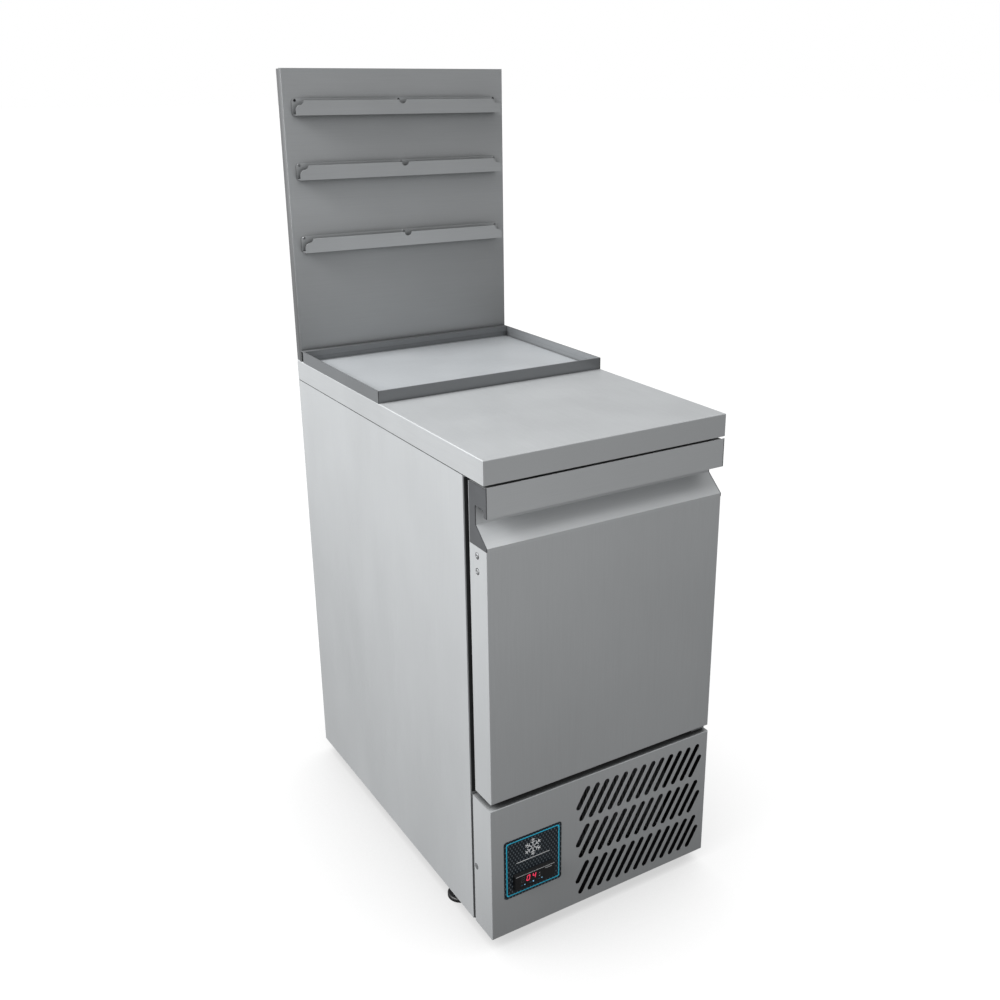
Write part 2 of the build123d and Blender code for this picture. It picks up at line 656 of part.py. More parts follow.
with BuildPart() as display_window:
    slab((WINDOW_LEFT, WINDOW_RIGHT), (BEZEL_FRONT + 0.2, BEZEL_FRONT + 1.2), (WINDOW_LOW, WINDOW_HIGH))
save(display_window, "display_window")

for number, x in enumerate(BUTTON_PLACES, start=1):
    with BuildPart() as button:
        slab(
            (x - BUTTON_WIDTH / 2, x + BUTTON_WIDTH / 2),
            (-CONTROL_PROUD, -CONTROL_PROUD + BUTTON_LENGTH),
            (BUTTON_Z - BUTTON_HEIGHT / 2, BUTTON_Z + BUTTON_HEIGHT / 2),
        )
        fillet(button.edges().filter_by(Axis.Y), 1.2)
        fillet(button.faces().sort_by(Axis.Y)[0].edges(), 0.3)
    save(button, f"button_{number}")


# ---------------------------------------------------------------- refrigeration, machine side
def finned_coil(x_span, depth_span, z_span, fin_count, tube_rows):
    """Fin stack on level tubes that stick out of both ends."""
    fin = 0.8
    pitch = (x_span[1] - x_span[0] - fin) / (fin_count - 1)
    row_pitch = (z_span[1] - z_span[0]) / tube_rows
    tube_depth = (depth_span[0] + depth_span[1]) / 2
    with BuildPart() as coil:
        for index in range(fin_count):
            left = x_span[0] + index * pitch
            slab((left, left + fin), depth_span, z_span)
        for index in range(tube_rows):
            z = z_span[0] + (index + 0.5) * row_pitch
            rod("X", 4, (tube_depth, z), (x_span[0] - 6, x_span[1] + 6))
    return coil


def axial_fan(centre, depth_span, radius, hub_radius, blade_count):
    """Hub with pitched blades, turning about a line along Y."""
    x, z = centre
    middle = (depth_span[0] + depth_span[1]) / 2
    blade_length = radius - hub_radius + 4
    with BuildPart() as fan:
        rod("Y", hub_radius, centre, depth_span)
        with Locations(Plane(origin=at(x, middle, z), x_dir=(1, 0, 0), z_dir=(0, -1, 0))):
            with PolarLocations(radius - blade_length / 2, blade_count):
                Box(blade_length, radius * 0.62, 1.6, rotation=(26, 0, 0))
        # round off the blade tips
        with BuildSketch(facing_front(depth_span[1] + 20)):
            with Locations(centre):
                Circle(radius)
        extrude(amount=depth_span[1] - depth_span[0] + 40, mode=Mode.INTERSECT)
    return fan


save(finned_coil((-50, 184), (72, 112), (50, 254), 34, 6), "condenser_coil")

# air duct from the slots to the fan: a wide mouth behind the panel, then the coil's own width
DUCT_LEFT = -62.0
DUCT_LOW = 46.5
DUCT_HIGH = 259.0
DUCT_WALL = 2.0
DUCT_BACK = 117.0
MOUTH_LOW = 27.0
MOUTH_RIGHT = 213.0
MOUTH_BACK = 56.0
BODY_RIGHT = 196.5
with BuildPart() as condenser_shroud:
    slab((DUCT_LEFT, MOUTH_RIGHT), (2, MOUTH_BACK), (MOUTH_LOW, DUCT_HIGH))
    slab((DUCT_LEFT, BODY_RIGHT), (2, DUCT_BACK), (DUCT_LOW, DUCT_HIGH))
    slab(
        (DUCT_LEFT + DUCT_WALL, MOUTH_RIGHT - DUCT_WALL),
        (1, MOUTH_BACK - DUCT_WALL),
        (MOUTH_LOW + DUCT_WALL, DUCT_HIGH - DUCT_WALL),
        Mode.SUBTRACT,
    )
    slab(
        (DUCT_LEFT + DUCT_WALL, BODY_RIGHT - DUCT_WALL),
        (1, DUCT_BACK - DUCT_WALL),
        (DUCT_LOW + DUCT_WALL, DUCT_HIGH - DUCT_WALL),
        Mode.SUBTRACT,
    )
    rod("Y", 92, CONDENSER_FAN, (110, 120), Mode.SUBTRACT)
save(condenser_shroud, "condenser_shroud")

save(axial_fan(CONDENSER_FAN, (122, 142), 84, 22, 5), "condenser_fan_blade")

with BuildPart() as condenser_fan_motor:
    rod("Y", 33, CONDENSER_FAN, (148, 196))
    rod("Y", 3, CONDENSER_FAN, (142.5, 148))
    for side in (-1, 1):
        arm = sorted((CONDENSER_FAN[0], CONDENSER_FAN[0] + side * 96))
        slab(arm, (152, 155), (CONDENSER_FAN[1] - 6, CONDENSER_FAN[1] + 6))
        foot = CONDENSER_FAN[0] + side * 96
        slab((foot - 3, foot + 3), (117, 155), (CONDENSER_FAN[1] - 6, CONDENSER_FAN[1] + 6))

COMPRESSOR = (90.0, 345.0)
COMPRESSOR_BASE = 36.0
with BuildPart() as compressor:
    rod("Z", 74, COMPRESSOR, (COMPRESSOR_BASE + 4, 205))
    fillet(compressor.edges().group_by(Axis.Z)[-1], 36)
    fillet(compressor.edges().group_by(Axis.Z)[0], 12)
    rod("Z", 77, COMPRESSOR, (112, 116))
    slab(
        (COMPRESSOR[0] - 95, COMPRESSOR[0] + 95),
        (COMPRESSOR[1] - 60, COMPRESSOR[1] + 60),
        (COMPRESSOR_BASE, COMPRESSOR_BASE + 5),
    )
save(compressor, "compressor")

with BuildPart() as compressor_feet:
    for x in (COMPRESSOR[0] - 82, COMPRESSOR[0] + 82):
        for depth in (COMPRESSOR[1] - 48, COMPRESSOR[1] + 48):
            rod("Z", 11, (x, depth), (FLOOR_GAP + PAN_FLOOR, COMPRESSOR_BASE))
save(compressor_feet, "compressor_feet")

DRIER = (-60.0, 150.0)              # x and z
with BuildPart() as filter_drier:
    rod("Y", 13, DRIER, (420, 520))
    fillet(filter_drier.edges(), 6)

PIPE_RADIUS = 3.2
BEND_RADIUS = 14.0
PIPE_ROUTES = {
    "discharge": [(150, 420, 170), (150, 450, 170), (196, 450, 170), (196, 120, 170)],
    "liquid": [(-70, 90, 62), (-70, 300, 62), (-60, 330, 150), (-60, 419, 150)],
    "suction": [(90, 262, 150), (90, 225, 150), (90, 225, 279)],
    "capillary": [(-60, 521, 150), (-60, 570, 150), (-60, 570, 279)],
}


def pipe(points):
    """Copper pipe: straight runs joined by tangent bends."""
    with BuildPart() as run:
        with BuildLine() as route:
            FilletPolyline(*[at(*point) for point in points], radius=BEND_RADIUS)
        with BuildSketch(Plane(origin=route.line @ 0, z_dir=route.line % 0)):
            Circle(PIPE_RADIUS)
        sweep(path=route.line)
    return run


save_group([filter_drier, *[pipe(points) for points in PIPE_ROUTES.values()]], "refrigerant_lines")

with BuildPart() as electrical_box:
    slab((-206, -86), (66, 176), (74, 200))
    fillet(electrical_box.edges().filter_by(Axis.Z), 4)
save(electrical_box, "electrical_box")

with BuildPart() as condensate_pan:
    slab((-125, 125), (540, 670), (FLOOR_GAP + PAN_FLOOR, 66))
    slab((-122, 122), (543, 667), (FLOOR_GAP + PAN_FLOOR + 2, 66), Mode.SUBTRACT)

with BuildPart() as cable_gland:
    rod("Y", 8, (-150, 110), (BODY_BACK - 12, DEPTH))
    rod("Y", 11, (-150, 110), (DEPTH, DEPTH + 5))
    rod("Y", 4, (-150, 110), (BODY_BACK - 13, DEPTH + 6), Mode.SUBTRACT)
save(cable_gland, "cable_gland")

# ---------------------------------------------------------------- refrigeration, food side
COVER_DEPTH = 590.0
COVER_X = 160.0
COVER_LOW = 362.0
COVER_HIGH = 742.0
with BuildPart() as evaporator_cover:
    slab((-COVER_X, COVER_X), (COVER_DEPTH, LINER_BACK), (COVER_LOW, COVER_HIGH))
    fillet(evaporator_cover.faces().sort_by(Axis.Y)[0].edges(), 3)
    slab(
        (-COVER_X + 1.5, COVER_X - 1.5),
        (COVER_DEPTH + 1.5, LINER_BACK),
        (COVER_LOW + 1.5, COVER_HIGH - 1.5),
        Mode.SUBTRACT,
    )
    rod("Y", 72, EVAPORATOR_FAN, (COVER_DEPTH - 1, COVER_DEPTH + 5), Mode.SUBTRACT)
    with BuildSketch(facing_front(COVER_DEPTH)):
        with Locations((0, 650)):
            with GridLocations(0, 22, 1, 5):
                SlotOverall(240, 10)
    extrude(amount=4, both=True, mode=Mode.SUBTRACT)
save(evaporator_cover, "evaporator_cover")

GUARD_WIRE = 1.5
with BuildPart() as fan_guard:
    fan_x, fan_z = EVAPORATOR_FAN
    for radius in (20, 34, 48, 62, 76):
        with BuildSketch(facing_front(COVER_DEPTH)):
            with Locations(EVAPORATOR_FAN):
                Circle(radius + GUARD_WIRE)
                Circle(radius - GUARD_WIRE, mode=Mode.SUBTRACT)
        extrude(amount=2.5)
    guard_depth = (COVER_DEPTH - 2.5, COVER_DEPTH)
    slab((fan_x - 78, fan_x + 78), guard_depth, (fan_z - GUARD_WIRE, fan_z + GUARD_WIRE))
    slab((fan_x - GUARD_WIRE, fan_x + GUARD_WIRE), guard_depth, (fan_z - 78, fan_z + 78))
save(fan_guard, "fan_guard")

save(axial_fan(EVAPORATOR_FAN, (596, 612), 66, 18, 5), "evaporator_fan_blade")

with BuildPart() as evaporator_fan_motor:
    rod("Y", 28, EVAPORATOR_FAN, (617, LINER_BACK))
    rod("Y", 3, EVAPORATOR_FAN, (612.5, 617))
save_group([condenser_fan_motor, evaporator_fan_motor], "fan_motors")

save(finned_coil((-140, 140), (602, 646), (560, 720), 36, 5), "evaporator_coil")

with BuildPart() as drip_tray:
    slab((-150, 150), (598, 652), (538, 554))
    slab((-148.5, 148.5), (599.5, 650.5), (539.5, 554), Mode.SUBTRACT)
save_group([condensate_pan, drip_tray], "condensate_trays")

with BuildPart() as temperature_probe:
    rod("Y", 4, (130, 744), (540, 585))
    fillet(temperature_probe.edges().group_by(Axis.Y)[0], 3)
    slab((122, 138), (560, 566), (748, LINER_ROOF))
    slab((129, 131), (560, 566), (747, 748))
save(temperature_probe, "temperature_probe")

# ---------------------------------------------------------------- shelves
RUNNER_X = 158.0
SHELF_HALF = 168.5
FRAME_WIRE = 3.0
CROSS_WIRE = 2.5
DECK_WIRE = 1.7
DECK_COUNT = 19
WELD_GAP = 0.02
SHELF_GAP = 0.4                     # under the shelf's frame
with BuildPart() as shelf_runners:
    for level in SHELF_LEVELS.values():
        for side in (-1, 1):
            slab(
                sorted((side * (LINER_HALF - 1.5), side * LINER_HALF)),
                (SHELF_FRONT - 10, SHELF_BACK),
                (level - 14, level),
            )
            slab(
                sorted((side * RUNNER_X, side * LINER_HALF)),
                (SHELF_FRONT - 10, SHELF_BACK),
                (level - 1.5, level),
            )
save(shelf_runners, "shelf_runners")


def wire_shelf(level):
    """Two side wires, three cross wires on them and a deck of thin wires on top, a hair apart."""
    side_z = level + SHELF_GAP + FRAME_WIRE
    cross_z = side_z + FRAME_WIRE + WELD_GAP + CROSS_WIRE
    deck_z = cross_z + CROSS_WIRE + WELD_GAP + DECK_WIRE
    side_x = SHELF_HALF - FRAME_WIRE
    deck_pitch = 2 * (side_x - 2) / (DECK_COUNT - 1)
    with BuildPart() as shelf:
        for side in (-1, 1):
            rod("Y", FRAME_WIRE, (side * side_x, side_z), (SHELF_FRONT, SHELF_BACK - 2))
        for depth in (SHELF_FRONT + 5, (SHELF_FRONT + SHELF_BACK) / 2, SHELF_BACK - 7):
            rod("X", CROSS_WIRE, (depth, cross_z), (-SHELF_HALF, SHELF_HALF))
        for index in range(DECK_COUNT):
            x = (index - (DECK_COUNT - 1) / 2) * deck_pitch
            rod("Y", DECK_WIRE, (x, deck_z), (SHELF_FRONT, SHELF_BACK - 2))
    return shelf


for shelf_name, shelf_level in SHELF_LEVELS.items():
    save(wire_shelf(shelf_level), shelf_name)

# ---------------------------------------------------------------- feet
PAD_HEIGHT = 7.0
NECK_TOP = 20.0
for place_name, (foot_x, foot_depth) in FOOT_PLACES.items():
    with BuildPart() as foot_pad:
        rod("Z", PAD_RADIUS, (foot_x, foot_depth), (0, PAD_HEIGHT))
        fillet(foot_pad.edges().group_by(Axis.Z)[-1], 3)
        rod("Z", 14, (foot_x, foot_depth), (PAD_HEIGHT, PAD_HEIGHT + 4))
    with BuildPart() as foot_stem:
        with BuildSketch(plan(PAD_HEIGHT + 4)):
            with Locations((foot_x, foot_depth)):
                RegularPolygon(11, 6)
        extrude(amount=NECK_TOP - PAD_HEIGHT - 4)
        rod("Z", STEM_RADIUS, (foot_x, foot_depth), (NECK_TOP, STEM_TOP))
    save_group([foot_pad, foot_stem], f"foot_{place_name}")

with BuildPart() as foot_nuts:
    for x, depth in FOOT_PLACES.values():
        slab((x - 17, x + 17), (depth - 17, depth + 17), (FLOOR_GAP + PAN_FLOOR, FLOOR_GAP + PAN_FLOOR + 8))
        rod("Z", STEM_RADIUS + 0.05, (x, depth), (FLOOR_GAP, FLOOR_GAP + 20), Mode.SUBTRACT)
save(foot_nuts, "foot_nuts")
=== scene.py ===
"""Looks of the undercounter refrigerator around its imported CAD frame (metres, +Z up, front faces -Y)."""

from math import cos, pi, radians, sin, tan

import bmesh
import bpy
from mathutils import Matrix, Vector


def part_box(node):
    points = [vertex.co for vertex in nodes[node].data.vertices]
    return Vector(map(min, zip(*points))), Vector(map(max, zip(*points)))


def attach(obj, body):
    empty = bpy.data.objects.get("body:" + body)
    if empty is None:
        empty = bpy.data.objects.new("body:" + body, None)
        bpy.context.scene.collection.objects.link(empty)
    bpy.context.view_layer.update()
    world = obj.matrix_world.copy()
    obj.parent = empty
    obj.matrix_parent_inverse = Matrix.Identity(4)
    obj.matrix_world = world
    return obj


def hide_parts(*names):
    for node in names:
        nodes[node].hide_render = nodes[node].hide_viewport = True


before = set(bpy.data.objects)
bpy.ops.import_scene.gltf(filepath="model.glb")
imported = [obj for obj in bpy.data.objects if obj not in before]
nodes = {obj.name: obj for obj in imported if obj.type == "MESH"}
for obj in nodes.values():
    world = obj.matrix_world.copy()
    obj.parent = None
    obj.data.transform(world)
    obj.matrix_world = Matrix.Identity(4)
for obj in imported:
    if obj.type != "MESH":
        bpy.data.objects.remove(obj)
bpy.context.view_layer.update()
MM = 0.001


# ---------------------------------------------------------------- material helpers
def new_material(name):
    """Empty node material with a Principled shader; returns (material, tree, shader)."""
    material = bpy.data.materials.new(name)
    material.use_nodes = True
    tree = material.node_tree
    tree.nodes.clear()
    output = tree.nodes.new("ShaderNodeOutputMaterial")
    shader = tree.nodes.new("ShaderNodeBsdfPrincipled")
    tree.links.new(shader.outputs[0], output.inputs[0])
    return material, tree, shader


def noise(tree, scale, detail=3.0, stretch=(1, 1, 1), rough=0.5):
    """Noise texture in the object's own metres, with a stretch per axis; returns its factor output."""
    coords = tree.nodes.new("ShaderNodeTexCoord")
    mapping = tree.nodes.new("ShaderNodeMapping")
    mapping.inputs["Scale"].default_value = stretch
    texture = tree.nodes.new("ShaderNodeTexNoise")
    texture.inputs["Scale"].default_value = scale
    texture.inputs["Detail"].default_value = detail
    texture.inputs["Roughness"].default_value = rough
    tree.links.new(coords.outputs["Object"], mapping.inputs[0])
    tree.links.new(mapping.outputs[0], texture.inputs["Vector"])
    return texture.outputs["Fac"]


def ramp(tree, factor, stops):
    """Colour ramp over a factor; stops are (position, colour) with grey numbers or RGB triples."""
    node = tree.nodes.new("ShaderNodeValToRGB")
    elements = node.color_ramp.elements
    while len(elements) < len(stops):
        elements.new(0.5)
    for element, (position, colour) in zip(elements, stops):
        rgb = colour if isinstance(colour, tuple) else (colour, colour, colour)
        element.position = position
        element.color = (*rgb, 1.0)
    tree.links.new(factor, node.inputs[0])
    return node.outputs[0]


def mix(tree, factor, first, second, blend="MIX"):
    """Mix two colour outputs; factor is a number or an output."""
    node = tree.nodes.new("ShaderNodeMix")
    node.data_type = "RGBA"
    node.blend_type = blend
    if isinstance(factor, (int, float)):
        node.inputs[0].default_value = factor
    else:
        tree.links.new(factor, node.inputs[0])
    tree.links.new(first, node.inputs[6])
    tree.links.new(second, node.inputs[7])
    return node.outputs[2]


def add_bump(tree, shader, heights, distance):
    """Chain of bumps; heights are (output, strength) pairs."""
    normal = None
    for height, strength in heights:
        node = tree.nodes.new("ShaderNodeBump")
        node.inputs["Strength"].default_value = strength
        node.inputs["Distance"].default_value = distance
        tree.links.new(height, node.inputs["Height"])
        if normal is not None:
            tree.links.new(normal, node.inputs["Normal"])
        normal = node.outputs[0]
    tree.links.new(normal, shader.inputs["Normal"])


def inside_box(tree, low, high):
    """1 where a point of the object lies inside a box of its own metres, else 0."""
    coords = tree.nodes.new("ShaderNodeTexCoord")
    split = tree.nodes.new("ShaderNodeSeparateXYZ")
    tree.links.new(coords.outputs["Object"], split.inputs[0])
    result = None
    for axis in range(3):
        for test, bound in (("GREATER_THAN", low[axis]), ("LESS_THAN", high[axis])):
            node = tree.nodes.new("ShaderNodeMath")
            node.operation = test
            node.inputs[1].default_value = bound
            tree.links.new(split.outputs[axis], node.inputs[0])
            if result is None:
                result = node.outputs[0]
            else:
                both = tree.nodes.new("ShaderNodeMath")
                both.operation = "MULTIPLY"
                tree.links.new(result, both.inputs[0])
                tree.links.new(node.outputs[0], both.inputs[1])
                result = both.outputs[0]
    return result


def painted_side_shade(tree, dark):
    """Painted shade: darker share on the faces that look to the left or right, standing in for the shade on
    these side faces.
    """
    coords = tree.nodes.new("ShaderNodeTexCoord")
    split = tree.nodes.new("ShaderNodeSeparateXYZ")
    tree.links.new(coords.outputs["Normal"], split.inputs[0])
    size = tree.nodes.new("ShaderNodeMath")
    size.operation = "ABSOLUTE"
    tree.links.new(split.outputs["X"], size.inputs[0])
    return ramp(tree, size.outputs[0], [(0.3, 1.0), (0.8, dark)])


def painted_crease_shade(tree, reach, dark):
    """Painted shade: darker share close to other surfaces, standing in for the shadow in creases, gaps and
    under lips.
    """
    node = tree.nodes.new("ShaderNodeAmbientOcclusion")
    node.inputs["Distance"].default_value = reach
    node.samples = 8
    return ramp(tree, node.outputs["AO"], [(0.32, dark), (0.76, 1.0)])


def painted_height_shade(tree, stops):
    """Painted shade and light: a share that changes with height up an upright sheet; stops are (metres,
    share).
    """
    coords = tree.nodes.new("ShaderNodeTexCoord")
    split = tree.nodes.new("ShaderNodeSeparateXYZ")
    tree.links.new(coords.outputs["Object"], split.inputs[0])
    lowest, highest = stops[0][0], stops[-1][0]
    span = tree.nodes.new("ShaderNodeMapRange")
    span.inputs["From Min"].default_value = lowest
    span.inputs["From Max"].default_value = highest
    tree.links.new(split.outputs["Z"], span.inputs["Value"])
    return ramp(tree, span.outputs[0], [((z - lowest) / (highest - lowest), share) for z, share in stops])


def tinted(colour, share):
    """Colour scaled in brightness."""
    return tuple(min(1.0, part * share) for part in colour)


GRAIN_FINE = 1400.0         # brush strokes per metre, across the grain
GRAIN_LONG = 14.0           # and along it
CLOUDING = 0.03             # how far the steel's tone drifts either way
PLAIN_METALLIC = 0.35
SATIN = 0.38                # roughness of the brushed sheet


def brushed_steel(
    name, colour, grain="Z", roughness=SATIN, metallic=PLAIN_METALLIC,
    painted_box=None, painted_share=0.02, side_shade=None, reach=0.012, dark=0.4, heights=None,
):
    """Satin stainless: fine brush lines along one axis, a cloudy tone and painted shade in its creases.

    painted_box and painted_share scale the tone inside a box of the part as painted shade and light,
    side_shade paints shade on its side faces, reach and dark set the painted crease shade, and heights is a
    list of stops for painted_height_shade.
    """
    material, tree, shader = new_material(name)
    stretch = tuple(GRAIN_LONG if axis == grain else GRAIN_FINE for axis in "XYZ")
    brush = noise(tree, 1.0, 4.0, stretch, 0.65)
    cloud = noise(tree, 3.2, 4.0)
    smear = noise(tree, 11.0, 5.0, (1, 1, 0.35))
    base = ramp(tree, cloud, [(0.3, tinted(colour, 1 - CLOUDING)), (0.7, tinted(colour, 1 + CLOUDING))])
    lines = ramp(tree, brush, [(0.32, 0.94), (0.68, 1.0)])
    tone = mix(tree, 1.0, base, lines, "MULTIPLY")
    # Painted shade and light inside a box of the part: near black in the fascia's slots, brighter on the
    # tray's floor.
    if painted_box is not None:
        share = ramp(tree, inside_box(tree, *painted_box), [(0.4, 1.0), (0.6, painted_share)])
        tone = mix(tree, 1.0, tone, share, "MULTIPLY")
    # Painted shade on the faces that look to the left or right.
    if side_shade is not None:
        tone = mix(tree, 1.0, tone, painted_side_shade(tree, side_shade), "MULTIPLY")
    # Painted shade darker towards the foot of a sheet, and on the upright panels painted light a little
    # brighter at the top.
    if heights is not None:
        tone = mix(tree, 1.0, tone, painted_height_shade(tree, heights), "MULTIPLY")
    # Painted shade close to other surfaces.
    tone = mix(tree, 1.0, tone, painted_crease_shade(tree, reach, dark), "MULTIPLY")
    tree.links.new(tone, shader.inputs["Base Color"])
    gloss_low = ramp(tree, smear, [(0.35, roughness - 0.05), (0.7, roughness + 0.06)])
    gloss_lines = ramp(tree, brush, [(0.3, 0.9), (0.7, 1.0)])
    tree.links.new(mix(tree, 1.0, gloss_low, gloss_lines, "MULTIPLY"), shader.inputs["Roughness"])
    shader.inputs["Metallic"].default_value = metallic
    add_bump(tree, shader, [(brush, 0.05), (cloud, 0.02)], 0.0002)
    return material


def plastic(name, colour, roughness=0.5, texture=2600.0, relief=0.15, coat=0.0, side_shade=None):
    """Moulded plastic with a fine spark-eroded texture and slight tone changes."""
    material, tree, shader = new_material(name)
    grain = noise(tree, texture, 2.0)
    cloud = noise(tree, 18.0, 4.0)
    tone = ramp(tree, cloud, [(0.3, tinted(colour, 0.88)), (0.7, tinted(colour, 1.1))])
    # Painted shade on the faces that look to the left or right.
    if side_shade is not None:
        tone = mix(tree, 1.0, tone, painted_side_shade(tree, side_shade), "MULTIPLY")
    tree.links.new(tone, shader.inputs["Base Color"])
    gloss = ramp(tree, grain, [(0.3, roughness - 0.06), (0.7, roughness + 0.08)])
    tree.links.new(gloss, shader.inputs["Roughness"])
    shader.inputs["Coat Weight"].default_value = coat
    add_bump(tree, shader, [(grain, relief)], 0.0001)
    return material


def bare_metal(name, colour, roughness=0.3, spots=220.0, contrast=0.12):
    """Plain or plated metal with small mottling."""
    material, tree, shader = new_material(name)
    mottle = noise(tree, spots, 4.0)
    cloud = noise(tree, 9.0, 3.0)
    tone = ramp(tree, mottle, [(0.3, tinted(colour, 1 - contrast)), (0.7, tinted(colour, 1 + contrast))])
    shade = ramp(tree, cloud, [(0.3, 0.88), (0.7, 1.0)])
    tree.links.new(mix(tree, 1.0, tone, shade, "MULTIPLY"), shader.inputs["Base Color"])
    gloss = ramp(tree, mottle, [(0.3, roughness - 0.07), (0.7, roughness + 0.1)])
    tree.links.new(gloss, shader.inputs["Roughness"])
    shader.inputs["Metallic"].default_value = 0.9
    add_bump(tree, shader, [(mottle, 0.12)], 0.0002)
    return material


def foam(name, colour):
    """Cut polyurethane foam: open cells and patchy colour."""
    material, tree, shader = new_material(name)
    cells = noise(tree, 900.0, 3.0)
    patch = noise(tree, 14.0, 4.0)
    tone = ramp(tree, patch, [(0.3, tinted(colour, 0.85)), (0.7, tinted(colour, 1.08))])
    pits = ramp(tree, cells, [(0.36, 0.7), (0.55, 1.0)])
    tree.links.new(mix(tree, 1.0, tone, pits, "MULTIPLY"), shader.inputs["Base Color"])
    shader.inputs["Roughness"].default_value = 0.9
    add_bump(tree, shader, [(cells, 0.5)], 0.0005)
    return material


def board(name):
    """Dark moisture-proof particle board under the worktop."""
    material, tree, shader = new_material(name)
    chips = noise(tree, 260.0, 3.0, (1, 1, 3))
    patch = noise(tree, 12.0, 3.0)
    dark, middle, pale = (0.02, 0.015, 0.01), (0.045, 0.035, 0.025), (0.08, 0.065, 0.05)
    tone = ramp(tree, chips, [(0.3, dark), (0.5, middle), (0.72, pale)])
    shade = ramp(tree, patch, [(0.3, 0.8), (0.7, 1.0)])
    tree.links.new(mix(tree, 1.0, tone, shade, "MULTIPLY"), shader.inputs["Base Color"])
    shader.inputs["Roughness"].default_value = 0.8
    add_bump(tree, shader, [(chips, 0.4)], 0.0004)
    return material


def label_film(name):
    """Dark printed film with a fine slanted mesh, under a clear coat."""
    material, tree, shader = new_material(name)
    coords = tree.nodes.new("ShaderNodeTexCoord")
    waves = []
    for lean in (32, -32):
        turn = tree.nodes.new("ShaderNodeMapping")
        turn.inputs["Rotation"].default_value = (0, radians(lean), 0)
        wave = tree.nodes.new("ShaderNodeTexWave")
        wave.wave_type = "BANDS"
        wave.bands_direction = "X"
        wave.inputs["Scale"].default_value = 60.0
        tree.links.new(coords.outputs["Object"], turn.inputs[0])
        tree.links.new(turn.outputs[0], wave.inputs["Vector"])
        waves.append(wave.outputs["Fac"])
    first = ramp(tree, waves[0], [(0.35, 0.0), (0.75, 1.0)])
    second = ramp(tree, waves[1], [(0.35, 0.0), (0.75, 1.0)])
    mesh = mix(tree, 1.0, first, second, "MULTIPLY")
    tone = ramp(tree, mesh, [(0.1, (0.006, 0.010, 0.015)), (0.9, (0.105, 0.125, 0.14))])
    tree.links.new(tone, shader.inputs["Base Color"])
    tree.links.new(ramp(tree, mesh, [(0.0, 0.3), (1.0, 0.42)]), shader.inputs["Roughness"])
    shader.inputs["Coat Weight"].default_value = 0.5
    shader.inputs["Coat Roughness"].default_value = 0.12
    return material


def glowing(name, colour, strength):
    """Lit print or display segment, a little uneven as a backlight is."""
    material, tree, shader = new_material(name)
    uneven = noise(tree, 420.0, 2.0)
    tone = ramp(tree, uneven, [(0.3, tinted(colour, 0.8)), (0.7, colour)])
    tree.links.new(tone, shader.inputs["Base Color"])
    tree.links.new(tone, shader.inputs["Emission Color"])
    shader.inputs["Emission Strength"].default_value = strength
    shader.inputs["Roughness"].default_value = 0.4
    return material


